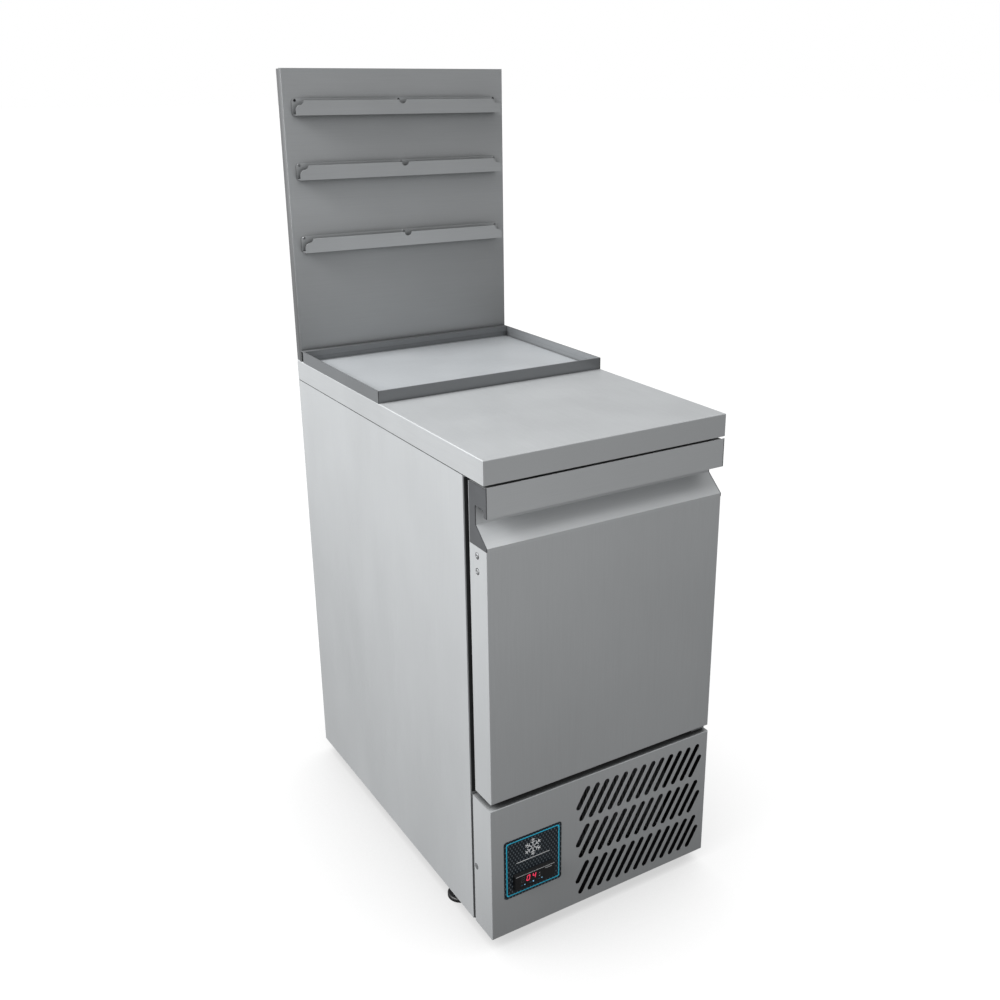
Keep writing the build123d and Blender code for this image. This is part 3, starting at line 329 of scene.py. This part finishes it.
# ---------------------------------------------------------------- materials
STEEL = (0.50, 0.515, 0.525)
fascia_low, fascia_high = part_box("fascia")
# Painted shade: behind the fascia's front face, in and around the slots, the steel is painted near black,
# standing in for the shade seen through them.
SLOT_SHADE_ZONE = (
    (fascia_low.x + 140 * MM, fascia_low.y + 0.08 * MM, fascia_low.z + 9 * MM),
    (fascia_high.x - 0.5 * MM, fascia_high.y + MM, fascia_high.z - 14 * MM),
)
tray_low, tray_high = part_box("tray")
# Painted light: the tray's floor is painted 2.7 times as bright as the rest of the tray.
TRAY_FLOOR_LIGHT_ZONE = (
    (tray_low.x + 2 * MM, tray_low.y + 2 * MM, tray_low.z - MM),
    (tray_high.x - 2 * MM, tray_high.y - 2 * MM, tray_low.z + 2 * MM),
)
MATERIALS = {
    # Painted shade: near black in the slots, dark creases and a darker foot.
    "steel_slotted": brushed_steel(
        "steel_slotted", STEEL, "Z", painted_box=SLOT_SHADE_ZONE, painted_share=0.02, reach=0.04, dark=0.12,
        heights=[(0.02, 0.84), (0.16, 0.96), (0.27, 1.0)]
    ),
    # Painted shade: the tray's sides and rims are dark, and its floor is painted bright.
    "steel_tray": brushed_steel(
        "steel_tray", (0.19, 0.198, 0.205), "X", painted_box=TRAY_FLOOR_LIGHT_ZONE, painted_share=2.7
    ),
    # Painted shade darker at the foot and painted light brighter at the top.
    "steel_upright": brushed_steel(
        "steel_upright", STEEL, "Z", heights=[(0.02, 0.92), (0.45, 1.0), (0.8, 1.05)]
    ),
    "steel_across": brushed_steel("steel_across", tinted(STEEL, 1.07), "X"),
    "steel_back": brushed_steel("steel_back", STEEL, "Y"),
    # Painted shade: darker side faces, dark creases under the rails and a darker foot.
    "steel_upstand": brushed_steel(
        "steel_upstand", tinted(STEEL, 1.08), "X", 0.42, 0.3, side_shade=0.32, reach=0.05, dark=0.12,
        heights=[(0.84, 0.55), (1.0, 0.78), (1.12, 1.02), (1.35, 1.0)]
    ),
    # Painted shade: darker side faces and dark creases.
    "steel_rail": brushed_steel(
        "steel_rail", tinted(STEEL, 1.1), "X", 0.42, 0.3, side_shade=0.22, reach=0.025, dark=0.15
    ),
    "steel_dark": brushed_steel("steel_dark", (0.15, 0.153, 0.157), "Z", 0.42),
    "grey_plastic": plastic("grey_plastic", (0.071, 0.074, 0.078), 0.5),
    # Painted shade on the bezel's side faces.
    "bezel_plastic": plastic("bezel_plastic", (0.014, 0.014, 0.015), 0.4, side_shade=0.1),
    "steel_liner": brushed_steel("steel_liner", tinted(STEEL, 0.9), "Z", 0.45),
    "black_plastic": plastic("black_plastic", (0.012, 0.012, 0.013), 0.42),
    "rubber": plastic("rubber", (0.035, 0.036, 0.038), 0.65, 1500.0, 0.25),
    "gasket_grey": plastic("gasket_grey", (0.05, 0.052, 0.055), 0.6, 1500.0, 0.2),
    "foam": foam("foam", (0.78, 0.70, 0.48)),
    "board": board("board"),
    "zinc": bare_metal("zinc", (0.50, 0.52, 0.53), 0.42, 60.0, 0.2),
    "screw_steel": bare_metal("screw_steel", (0.42, 0.43, 0.44), 0.5),
    "chrome_wire": bare_metal("chrome_wire", (0.72, 0.73, 0.75), 0.16, 300.0, 0.05),
    "fins": bare_metal("fins", (0.66, 0.67, 0.68), 0.35, 400.0),
    "black_paint": plastic("black_paint", (0.014, 0.014, 0.015), 0.32, 700.0, 0.3, 0.3),
    "copper": bare_metal("copper", (0.62, 0.27, 0.14), 0.3, 140.0, 0.2),
    "label": label_film("label"),
    "window": plastic("window", (0.008, 0.008, 0.009), 0.12, 900.0, 0.02, 0.8),
    "teal_print": plastic("teal_print", (0.03, 0.52, 0.76), 0.4, 900.0, 0.05),
    "white_print": plastic("white_print", (0.86, 0.87, 0.88), 0.4, 900.0, 0.05),
    # Dark finish of real seams, also used as painted shade in gaps and under screw heads.
    "dark_seam_and_shade": plastic("dark_seam_and_shade", (0.02, 0.021, 0.022), 0.7, 900.0, 0.05),
    "grey_print_and_highlight": plastic("grey_print_and_highlight", (0.5, 0.51, 0.52), 0.4, 900.0, 0.05),
    "unlit_segment": plastic("unlit_segment", (0.05, 0.05, 0.053), 0.35, 900.0, 0.05),
    "lit_segment": glowing("lit_segment", (0.83, 0.045, 0.11), 0.8),
    "lit_icon": glowing("lit_icon", (0.22, 0.5, 0.75), 0.55),
    "dim_icon": glowing("dim_icon", (0.02, 0.1, 0.17), 0.3),
}
NODE_MATERIALS = {
    "steel_upright": [
        "side_panel_left", "side_panel_right", "door_skin", "inner_liner", "evaporator_cover",
    ],
    "steel_slotted": ["fascia"],
    "steel_tray": ["tray"],
    "steel_upstand": ["upstand_front"],
    "steel_rail": ["rail_upper", "rail_middle", "rail_lower"],
    "steel_across": ["handle_profile"],
    "steel_back": ["worktop_skin", "shelf_runners"],
    "steel_dark": ["upstand_back_cover"],
    "grey_plastic": ["handle_end_caps"],
    "gasket_grey": ["front_frame"],
    "steel_liner": ["door_liner"],
    "black_plastic": [
        "hinge_bushes", "hinge_plugs", "button_1", "button_2", "button_3", "cable_gland",
        "condenser_fan_blade", "evaporator_fan_blade", "temperature_probe", "foot_front_left",
        "foot_front_right", "foot_rear_left", "foot_rear_right", "electrical_box", "condensate_trays",
        "condenser_shroud",
    ],
    "rubber": ["door_gasket", "compressor_feet"],
    "foam": ["foam_walls", "door_foam"],
    "board": ["worktop_core"],
    "zinc": [
        "rear_panel", "rear_grille", "base_pan", "compartment_ceiling", "upstand_supports",
        "hinge_brackets", "foot_nuts",
    ],
    "screw_steel": ["cabinet_screws", "rail_rivets", "door_screws"],
    "chrome_wire": ["shelf_lower", "shelf_upper", "fan_guard"],
    "fins": ["condenser_coil", "evaporator_coil", "fan_motors"],
    "black_paint": ["compressor"],
    "copper": ["refrigerant_lines"],
    "bezel_plastic": ["controller_body"],
    "label": ["control_label"],
    "window": ["display_window"],
}
for material_name, node_names in NODE_MATERIALS.items():
    for node_name in node_names:
        mesh = nodes[node_name].data
        mesh.materials.clear()
        mesh.materials.append(MATERIALS[material_name])

# ---------------------------------------------------------------- piece helpers
def finish_piece(name, mesh_data, material, body, replaced=(), smooth=False):
    """Turn a bmesh into a piece that rides on a body."""
    bmesh.ops.recalc_face_normals(mesh_data, faces=mesh_data.faces)
    mesh = bpy.data.meshes.new(name)
    mesh_data.to_mesh(mesh)
    mesh_data.free()
    mesh.materials.append(MATERIALS[material])
    if smooth:
        mesh.shade_smooth()
        mesh.set_sharp_from_angle(angle=radians(35))
    piece = bpy.data.objects.new(name, mesh)
    bpy.context.scene.collection.objects.link(piece)
    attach(piece, body)
    if replaced:
        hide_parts(*replaced)
    return piece


def plate(mesh_data, outline, front, thickness):
    """Flat plate facing the front: an outline in X and Z, its front depth and its thickness."""
    layers = [[mesh_data.verts.new((x, y, z)) for x, z in outline] for y in (front, front + thickness)]
    mesh_data.faces.new(layers[0])
    mesh_data.faces.new(reversed(layers[1]))
    for index in range(len(outline)):
        after = (index + 1) % len(outline)
        mesh_data.faces.new((layers[0][index], layers[1][index], layers[1][after], layers[0][after]))


def frame_plate(mesh_data, outer, inner, front, thickness):
    """Closed flat band between two outlines with as many points."""
    rings = []
    for y in (front, front + thickness):
        for outline in (outer, inner):
            rings.append([mesh_data.verts.new((x, y, z)) for x, z in outline])
    front_outer, front_inner, back_outer, back_inner = rings
    around = (front_outer, front_inner, back_inner, back_outer, front_outer)
    for index in range(len(outer)):
        after = (index + 1) % len(outer)
        for first, second in zip(around, around[1:]):
            mesh_data.faces.new((first[index], first[after], second[after], second[index]))


def rounded(low_x, high_x, low_z, high_z, radius, steps=6):
    """Outline of a rectangle with round corners."""
    points = []
    corners = ((high_x, high_z, 0), (low_x, high_z, 90), (low_x, low_z, 180), (high_x, low_z, 270))
    for x, z, start in corners:
        centre_x = x - radius if x == high_x else x + radius
        centre_z = z - radius if z == high_z else z + radius
        for step in range(steps + 1):
            angle = radians(start + 90 * step / steps)
            points.append((centre_x + radius * cos(angle), centre_z + radius * sin(angle)))
    return points


def bar(first, second, width):
    """Outline of a straight bar between two points of X and Z."""
    along_bar = (Vector(second) - Vector(first)).normalized()
    across = Vector((-along_bar.y, along_bar.x)) * width / 2
    start, end = Vector(first), Vector(second)
    return [tuple(start - across), tuple(end - across), tuple(end + across), tuple(start + across)]


def regular(centre_x, centre_z, radius, sides, start=0.0):
    """Outline of a regular polygon, its first corner at a start angle."""
    angles = [2 * pi * side / sides + start for side in range(sides)]
    return [(centre_x + radius * cos(angle), centre_z + radius * sin(angle)) for angle in angles]


def block(mesh_data, low, high):
    """Box between two corners."""
    face = [(low[0], low[2]), (high[0], low[2]), (high[0], high[2]), (low[0], high[2])]
    plate(mesh_data, face, low[1], high[1] - low[1])


def lathe(mesh_data, profile, base, axis, steps=28):
    """Turned shape: profile of (radius, height) from the base outward along an axis."""
    turn = Vector(axis).to_track_quat("Z", "Y")
    rings = []
    for radius, height in profile:
        if radius == 0:
            rings.append([mesh_data.verts.new(Vector(base) + turn @ Vector((0, 0, height)))])
            continue
        ring = []
        for step in range(steps):
            angle = 2 * pi * step / steps
            local = Vector((radius * cos(angle), radius * sin(angle), height))
            ring.append(mesh_data.verts.new(Vector(base) + turn @ local))
        rings.append(ring)
    for lower, upper in zip(rings, rings[1:]):
        for step in range(steps):
            after = (step + 1) % steps
            corners = [lower[step % len(lower)], lower[after % len(lower)]]
            corners += [upper[after % len(upper)], upper[step % len(upper)]]
            corners = list(dict.fromkeys(corners))
            if len(corners) > 2:
                mesh_data.faces.new(corners)


PRINT = 0.12 * MM           # thickness of printed and raised marks


def printed(mesh_data, outline, face):
    """Raised print that stands on a face of the given depth."""
    plate(mesh_data, outline, face - PRINT, PRINT)


# ---------------------------------------------------------------- control label
label_low, label_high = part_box("control_label")
label_front = label_low.y
TEAL_INSET = 4.3 * MM
TEAL_WIDTH = 1.7 * MM
TEAL_CORNER = 5 * MM
rings = []
for inset in (TEAL_INSET, TEAL_INSET + TEAL_WIDTH):
    span_x = (label_low.x + inset, label_high.x - inset)
    span_z = (label_low.z + inset, label_high.z - inset)
    rings.append(rounded(*span_x, *span_z, TEAL_CORNER - inset / 4))
teal = bmesh.new()
frame_plate(teal, rings[0], rings[1], label_front - PRINT, PRINT)
finish_piece("label_teal_frame", teal, "teal_print", "cabinet")

# snowflake mark and a rule under it
MARK_CENTRE = Vector((label_low.x + 54 * MM, label_low.z + 82.5 * MM))
MARK_ARM = 16 * MM
MARK_HUB = 0.12             # share of an arm that stays open in the middle
ARM_WIDTH = 1.3 * MM
BRANCH_SHARES = (0.48, 0.76)
BRANCH_WIDTH = 1.0 * MM
BRANCH_GAP = 0.8 * MM


def heading_at(angle):
    """Unit step in X and Z."""
    return Vector((cos(angle), sin(angle)))


mark = bmesh.new()
for arm in range(6):
    arm_angle = pi * arm / 3 + pi / 6
    heading = heading_at(arm_angle)
    tip = MARK_CENTRE + heading * MARK_ARM
    printed(mark, bar(MARK_CENTRE + heading * MARK_ARM * MARK_HUB, tip, ARM_WIDTH), label_front)
    for share in BRANCH_SHARES:
        joint = MARK_CENTRE + heading * MARK_ARM * share
        branch_length = MARK_ARM * (0.42 - 0.22 * share)
        for lean in (-1, 1):
            branch = heading_at(arm_angle + lean * pi / 3)
            branch_ends = (joint + branch * BRANCH_GAP, joint + branch * branch_length)
            printed(mark, bar(*branch_ends, BRANCH_WIDTH), label_front)
finish_piece("label_snowflake", mark, "white_print", "cabinet")
RULE_Z = label_low.z + 62.5 * MM
RULE_INSET = 23 * MM
RULE_WIDTH = 0.9 * MM
rule = bmesh.new()
rule_ends = ((label_low.x + RULE_INSET, RULE_Z), (label_high.x - RULE_INSET, RULE_Z))
printed(rule, bar(*rule_ends, RULE_WIDTH), label_front)
finish_piece("label_rule", rule, "white_print", "cabinet")

# ---------------------------------------------------------------- display
window_low, window_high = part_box("display_window")
digit_front = window_low.y
DIGIT_HEIGHT = 10.6 * MM
DIGIT_WIDTH = 6.2 * MM
SEGMENT = 1.35 * MM
SLANT = tan(radians(9))
DIGIT_Z = (window_low.z + window_high.z) / 2
SEGMENTS = {"8": "abcdefg", "0": "abcdef", "4": "bcfg"}
SEGMENT_GAP = 0.3 * MM


def digit(mesh_data, centre_x, character):
    """Seven-segment digit, slanted to the right."""
    half_width = (DIGIT_WIDTH - SEGMENT) / 2
    half_height = (DIGIT_HEIGHT - SEGMENT) / 2
    gap = SEGMENT_GAP
    left, right = -half_width, half_width
    spots = {
        "a": ((left + gap, half_height), (right - gap, half_height)),
        "b": ((right, half_height - gap), (right, gap)),
        "c": ((right, -gap), (right, gap - half_height)),
        "d": ((left + gap, -half_height), (right - gap, -half_height)),
        "e": ((left, -gap), (left, gap - half_height)),
        "f": ((left, half_height - gap), (left, gap)),
        "g": ((left + gap, 0), (right - gap, 0)),
    }
    for letter in SEGMENTS[character]:
        outline = bar(*spots[letter], SEGMENT)
        outline = [(centre_x + x + z * SLANT, DIGIT_Z + z) for x, z in outline]
        printed(mesh_data, outline, digit_front)


DIGIT_PLACES = {"unlit": 5.6 * MM, "tens": 16.0 * MM, "ones": 27.0 * MM}      # from the window's left
unlit = bmesh.new()
digit(unlit, window_low.x + DIGIT_PLACES["unlit"], "8")
finish_piece("display_unlit_digit", unlit, "unlit_segment", "cabinet")
lit = bmesh.new()
digit(lit, window_low.x + DIGIT_PLACES["tens"], "0")
digit(lit, window_low.x + DIGIT_PLACES["ones"], "4")
finish_piece("display_digits", lit, "lit_segment", "cabinet")
DOT_PLACE = 37.2 * MM
DOT_RISES = (0.6 * MM, -4.6 * MM)       # from the digits' middle
DOT_RADIUS = 0.8 * MM
dots = bmesh.new()
for rise in DOT_RISES:
    printed(dots, regular(window_low.x + DOT_PLACE, DIGIT_Z + rise, DOT_RADIUS, 12), digit_front)
finish_piece("display_dots", dots, "grey_print_and_highlight", "cabinet")

# painted highlight along the bezel's top edge, standing in for the light on its chamfer, and a short mark
# beside the window
body_low, body_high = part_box("controller_body")
HIGHLIGHT_Z = body_high.z - 0.9 * MM
HIGHLIGHT_WIDTH = 0.8 * MM
MARK_Z = body_high.z - 4.2 * MM
MARK_ENDS = (body_high.x - 19 * MM, body_high.x - 6 * MM)
MARK_WIDTH = 0.9 * MM
highlight_and_mark = bmesh.new()
printed(highlight_and_mark, bar((body_low.x + MM, HIGHLIGHT_Z), (body_high.x - MM, HIGHLIGHT_Z), HIGHLIGHT_WIDTH), body_low.y)
printed(highlight_and_mark, bar((MARK_ENDS[0], MARK_Z), (MARK_ENDS[1], MARK_Z), MARK_WIDTH), body_low.y)
finish_piece("bezel_highlight_and_mark", highlight_and_mark, "grey_print_and_highlight", "cabinet")

# ---------------------------------------------------------------- buttons
CAP_CORNER = 1.2 * MM
CAP_BEVEL = 0.4 * MM
CAP_RIM = 0.5 * MM          # where the bevel starts, behind the button's face
CAP_FACE = 0.15 * MM        # and where it ends
ICON_SIDES = (3, 8, 4)
ICON_SIZE = 1.35 * MM
ICON_SHIFT = 2.4 * MM
ICON_RISE = 1.0 * MM
ICON_FACE = 0.03 * MM       # depth of the icons behind the button's foremost point
DASH_SPAN = (-5.0 * MM, -1.2 * MM)
DASH_DROP = 0.2 * MM
DASH_WIDTH = 0.6 * MM
for number, icon_sides in enumerate(ICON_SIDES, start=1):
    low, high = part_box(f"button_{number}")
    body = f"controller_button_{number}"
    cap_piece = bmesh.new()
    outline = rounded(low.x, high.x, low.z, high.z, CAP_CORNER, 4)
    inner_x = (low.x + CAP_BEVEL, high.x - CAP_BEVEL)
    inner_z = (low.z + CAP_BEVEL, high.z - CAP_BEVEL)
    inner = rounded(*inner_x, *inner_z, CAP_CORNER - CAP_BEVEL, 4)
    layers = []
    for y, points in ((high.y, outline), (low.y + CAP_RIM, outline), (low.y + CAP_FACE, inner)):
        layers.append([cap_piece.verts.new((x, y, z)) for x, z in points])
    for first, second in zip(layers, layers[1:]):
        for index in range(len(first)):
            after = (index + 1) % len(first)
            cap_piece.faces.new((first[index], first[after], second[after], second[index]))
    cap_piece.faces.new(layers[0])
    cap_piece.faces.new(layers[-1])
    replaced = (f"button_{number}",)
    finish_piece(f"button_cap_{number}", cap_piece, "black_plastic", body, replaced)
    middle = (low.x + high.x) / 2
    icon_z = (low.z + high.z) / 2 + ICON_RISE
    icon_front = low.y + ICON_FACE
    icon = bmesh.new()
    plate(icon, regular(middle + ICON_SHIFT, icon_z, ICON_SIZE, icon_sides, pi / 2), icon_front, PRINT)
    finish_piece(f"button_icon_{number}", icon, "lit_icon", body)
    dash = bmesh.new()
    dash_ends = [(middle + shift, icon_z - DASH_DROP) for shift in DASH_SPAN]
    plate(dash, bar(*dash_ends, DASH_WIDTH), icon_front, PRINT)
    finish_piece(f"button_dash_{number}", dash, "dim_icon", body)

# ---------------------------------------------------------------- screws and rivets
SCREW_PROFILE = [
    (0, 0), (1.0, 0), (1.0, 0.3), (0.85, 0.68), (0.6, 0.92), (0.32, 1.0), (0.25, 0.75), (0, 0.75)
]
HEAD_RADIUS = 4.5 * MM
RING_BORDER = 0.8 * MM
RING_HEIGHT = 0.12 * MM


def screw_head(mesh_data, base, axis, radius, height):
    """Domed head with a round recess in the middle."""
    lathe(mesh_data, [(r * radius, h * height) for r, h in SCREW_PROFILE], base, axis)


def painted_shadow_ring(mesh_data, base, axis, radius):
    """Painted shadow under a screw head: a thin dark disc a little wider than the head."""
    outer = radius + RING_BORDER
    lathe(mesh_data, [(0, 0), (outer, 0), (outer, RING_HEIGHT), (0, RING_HEIGHT)], base, axis)


door_low, door_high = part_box("door_skin")
screws_low, screws_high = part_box("door_screws")
door_heads = bmesh.new()
door_shadow_rings = bmesh.new()
for side, face_x, outer_x in ((-1, door_low.x, screws_low.x), (1, door_high.x, screws_high.x)):
    for z in (screws_low.z + HEAD_RADIUS, screws_high.z - HEAD_RADIUS):
        base = (face_x, (screws_low.y + screws_high.y) / 2, z)
        screw_head(door_heads, base, (side, 0, 0), HEAD_RADIUS, abs(outer_x - face_x))
        painted_shadow_ring(door_shadow_rings, base, (side, 0, 0), HEAD_RADIUS)
finish_piece("door_screw_shadow_rings", door_shadow_rings, "dark_seam_and_shade", "door")
finish_piece("door_screw_heads", door_heads, "screw_steel", "door", ("door_screws",), True)

side_heads = bmesh.new()
side_shadow_rings = bmesh.new()
fixings_low, fixings_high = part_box("cabinet_screws")
FASCIA_SCREW_DEPTH = 47.7 * MM      # from the panel's front face
FASCIA_SCREW_RISE = 113.0 * MM      # from its lower edge
for side, face_x, outer_x in ((-1, fascia_low.x, fixings_low.x), (1, fascia_high.x, fixings_high.x)):
    base = (face_x, fascia_low.y + FASCIA_SCREW_DEPTH, fascia_low.z + FASCIA_SCREW_RISE)
    screw_head(side_heads, base, (side, 0, 0), HEAD_RADIUS, abs(outer_x - face_x))
    painted_shadow_ring(side_shadow_rings, base, (side, 0, 0), HEAD_RADIUS)
finish_piece("panel_screw_shadow_rings", side_shadow_rings, "dark_seam_and_shade", "cabinet")

supports_low, supports_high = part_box("upstand_supports")
BOLT_HEAD = 3 * MM
BOLT_INSET = 15 * MM                # from the outer edge of each upright
BOLT_DROPS = (46 * MM, 6 * MM)      # from the top of the fixings
BOLT_PROFILE = [(0, 0), (6 * MM, 0), (6 * MM, 2.4 * MM), (5 * MM, BOLT_HEAD), (0, BOLT_HEAD)]
bolt_heads = bmesh.new()
for x in (supports_low.x + BOLT_INSET, supports_high.x - BOLT_INSET):
    for drop in BOLT_DROPS:
        base = (x, fixings_high.y - BOLT_HEAD, fixings_high.z - drop)
        lathe(bolt_heads, BOLT_PROFILE, base, (0, 1, 0), 6)
finish_piece("panel_screw_heads", side_heads, "screw_steel", "cabinet", smooth=True)
finish_piece("bracket_bolt_heads", bolt_heads, "screw_steel", "cabinet", ("cabinet_screws",))

RIVET_PLACES = (-196 * MM, 0.0, 196 * MM)
RIVET_DROP = 3.3 * MM               # from the rail's upper edge
RAIL_SHEET = 1.2 * MM
RIVET_PROFILE = [(0, 0), (2.5 * MM, 0), (2.2 * MM, 0.45 * MM), (1.2 * MM, 0.68 * MM), (0, 0.7 * MM)]
# Painted shade: the upper rail's rivet heads are black, standing in for the shade in their holes; the others
# are plain steel.
shaded_rivet_heads = bmesh.new()
bright_heads = bmesh.new()
for rail_name in ("rail_upper", "rail_middle", "rail_lower"):
    rail_low, rail_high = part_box(rail_name)
    target = shaded_rivet_heads if rail_name == "rail_upper" else bright_heads
    for x in RIVET_PLACES:
        lathe(target, RIVET_PROFILE, (x, rail_high.y - RAIL_SHEET, rail_high.z - RIVET_DROP), (0, -1, 0), 20)
finish_piece("rail_rivets_painted_shade", shaded_rivet_heads, "black_plastic", "cabinet", smooth=True)
finish_piece("rail_rivets_bright", bright_heads, "screw_steel", "cabinet", ("rail_rivets",), True)

# ---------------------------------------------------------------- painted gap shade and seams
CLEAR = 0.05 * MM
GAP_SHADE_WIDTH = 2.0 * MM             # width across of the dark strip painted in as shade in the gaps over and in front of a side panel
DOOR_GAP_SHADE_WIDTH = 8.8 * MM        # width across of the dark strip painted in as shade behind the door's edge
DOOR_GAP_SHADE_DEPTH = 0.8 * MM
SEAM = 0.9 * MM
SHEET = 1.1 * MM
DOOR_GAP_SHADE_HEIGHTS = {-1: (-10.5 * MM, 516 * MM), 1: (70 * MM, 440 * MM)}    # from the door's lower edge
panel_low, panel_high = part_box("side_panel_left")
skin_low, skin_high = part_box("worktop_skin")


def inward(side, outer, width):
    """Low and high X of a strip that runs inward from an outer distance on one side."""
    return sorted((side * outer, side * (outer - width)))


def strip(mesh_data, span_x, span_y, span_z):
    """Box from its three spans."""
    block(mesh_data, (span_x[0], span_y[0], span_z[0]), (span_x[1], span_y[1], span_z[1]))


# Painted shade: dark strips in the gaps over the side panels, in front of them and behind the door's edge
# stand in for the shade there; the tray's corner seams are real dark joints.
top_gap_shade_mesh = bmesh.new()
front_gap_shade_mesh = bmesh.new()
door_gap_shade_mesh = bmesh.new()
corner_seams = bmesh.new()
for side in (-1, 1):
    strip(
        top_gap_shade_mesh,
        inward(side, skin_high.x - 0.3 * MM, GAP_SHADE_WIDTH),
        (panel_low.y + MM, skin_high.y - 2 * MM),
        (panel_high.z + CLEAR, skin_low.z - CLEAR),
    )
    strip(
        front_gap_shade_mesh,
        inward(side, fascia_high.x - SHEET, GAP_SHADE_WIDTH),
        (fascia_high.y + CLEAR, panel_low.y - CLEAR),
        (fascia_low.z + 2 * MM, fascia_high.z - 10 * MM),
    )
    strip(
        door_gap_shade_mesh,
        inward(side, skin_high.x - 2.2 * MM, DOOR_GAP_SHADE_WIDTH),
        (panel_low.y - DOOR_GAP_SHADE_DEPTH, panel_low.y - CLEAR),
        [door_low.z + height for height in DOOR_GAP_SHADE_HEIGHTS[side]],
    )
    strip(
        corner_seams,
        inward(side, tray_high.x - 0.5 * MM, SEAM),
        (tray_low.y - CLEAR, tray_low.y),
        (tray_low.z + 0.5 * MM, tray_high.z - 0.5 * MM),
    )
finish_piece("worktop_gap_shade", top_gap_shade_mesh, "dark_seam_and_shade", "cabinet")
finish_piece("fascia_gap_shade", front_gap_shade_mesh, "dark_seam_and_shade", "cabinet")
finish_piece("door_gap_shade", door_gap_shade_mesh, "dark_seam_and_shade", "cabinet")
finish_piece("tray_corner_seams", corner_seams, "dark_seam_and_shade", "cabinet")

# ---------------------------------------------------------------- light, floor and camera
scene = bpy.context.scene
scene.view_settings.view_transform = "Standard"
world = bpy.data.worlds.new("studio")
scene.world = world
world.use_nodes = True
sky = world.node_tree
studio = sky.nodes["Background"]
direction = sky.nodes.new("ShaderNodeTexCoord")
split = sky.nodes.new("ShaderNodeSeparateXYZ")
sky.links.new(direction.outputs["Generated"], split.inputs[0])


def along(axis):
    """Direction's share along an axis, from 0 to 1."""
    node = sky.nodes.new("ShaderNodeMapRange")
    node.inputs["From Min"].default_value = -1.0
    sky.links.new(split.outputs[axis], node.inputs["Value"])
    return node.outputs[0]


height_glow = ramp(sky, along("Z"), [(0.0, 0.13), (0.42, 0.2), (0.52, 0.24), (0.7, 0.5), (1.0, 1.1)])
left_glow = ramp(sky, along("X"), [(0.0, 1.0), (0.35, 0.62), (1.0, 0.45)])
sky.links.new(mix(sky, 1.0, height_glow, left_glow, "MULTIPLY"), studio.inputs["Color"])
studio.inputs["Strength"].default_value = 1.2
backdrop = sky.nodes.new("ShaderNodeBackground")
backdrop.inputs["Color"].default_value = (1, 1, 1, 1)
ray = sky.nodes.new("ShaderNodeLightPath")
choice = sky.nodes.new("ShaderNodeMixShader")
sky.links.new(ray.outputs["Is Camera Ray"], choice.inputs[0])
sky.links.new(studio.outputs[0], choice.inputs[1])
sky.links.new(backdrop.outputs[0], choice.inputs[2])
sky.links.new(choice.outputs[0], sky.nodes["World Output"].inputs["Surface"])


def lamp_object(name, lamp, place, toward):
    """Put a lamp at a place, shining away from the direction given."""
    holder = bpy.data.objects.new(name, lamp)
    holder.location = place
    holder.rotation_euler = Vector(toward).to_track_quat("Z", "Y").to_euler()
    scene.collection.objects.link(holder)
    return holder


def sun(name, toward, strength, softness):
    """Distant lamp that shines from a direction."""
    lamp = bpy.data.lights.new(name, "SUN")
    lamp.energy = strength
    lamp.angle = radians(softness)
    lamp_object(name, lamp, (0, 0, 0), toward)


def softbox(name, place, target, size, power):
    """Square soft light aimed at a point; nearer surfaces get more of it."""
    lamp = bpy.data.lights.new(name, "AREA")
    lamp.shape = "SQUARE"
    lamp.size = size
    lamp.energy = power
    return lamp_object(name, lamp, place, Vector(place) - Vector(target))


sun("key_left", (-0.9, -0.03, 0.6), 2.75, 30)
softbox("side_fill", (-1.7, 0.45, 2.1), (-0.2, 0.0, 0.8), 1.0, 52)
softbox("front_fill", (-0.3, -1.5, 0.9), (0.0, -0.3, 0.6), 0.7, 6.2).visible_glossy = False

floor_mesh = bpy.data.meshes.new("floor")
FLOOR_REACH = 60.0
floor_mesh.from_pydata(
    [(-FLOOR_REACH, -FLOOR_REACH, 0), (FLOOR_REACH, -FLOOR_REACH, 0), (FLOOR_REACH, FLOOR_REACH, 0),
     (-FLOOR_REACH, FLOOR_REACH, 0)],
    [],
    [(0, 1, 2, 3)],
)
floor = bpy.data.objects.new("floor", floor_mesh)
scene.collection.objects.link(floor)
floor_material, floor_tree, floor_shader = new_material("pale_floor")
floor_tone = ramp(floor_tree, noise(floor_tree, 0.6, 2.0), [(0.3, 0.05), (0.7, 0.06)])
floor_tree.links.new(floor_tone, floor_shader.inputs["Base Color"])
floor_shader.inputs["Roughness"].default_value = 0.9
floor_shader.inputs["Specular IOR Level"].default_value = 0.1
# Painted shadow: the floor's glow is darker close to the object, as a soft contact shadow.
nearness = floor_tree.nodes.new("ShaderNodeAmbientOcclusion")
nearness.inputs["Distance"].default_value = 0.42
nearness.samples = 12
painted_contact_shadow = ramp(floor_tree, nearness.outputs["AO"], [(0.3, 0.6), (0.62, 0.82), (0.93, 0.99)])
floor_tree.links.new(painted_contact_shadow, floor_shader.inputs["Emission Color"])
floor_shader.inputs["Emission Strength"].default_value = 1.0
floor_mesh.materials.append(floor_material)
floor.visible_diffuse = False
floor.visible_glossy = False

camera_data = bpy.data.cameras.new("camera")
camera = bpy.data.objects.new("camera", camera_data)
scene.collection.objects.link(camera)
camera.location = (-0.92527, -1.6195, 1.32757)
camera.rotation_euler = (radians(90 - 19.86), 0, radians(-32.33))
camera_data.lens = 40.44
camera_data.sensor_width = 36.0
camera_data.shift_x = -0.0427
camera_data.shift_y = -0.0145
scene.camera = camera
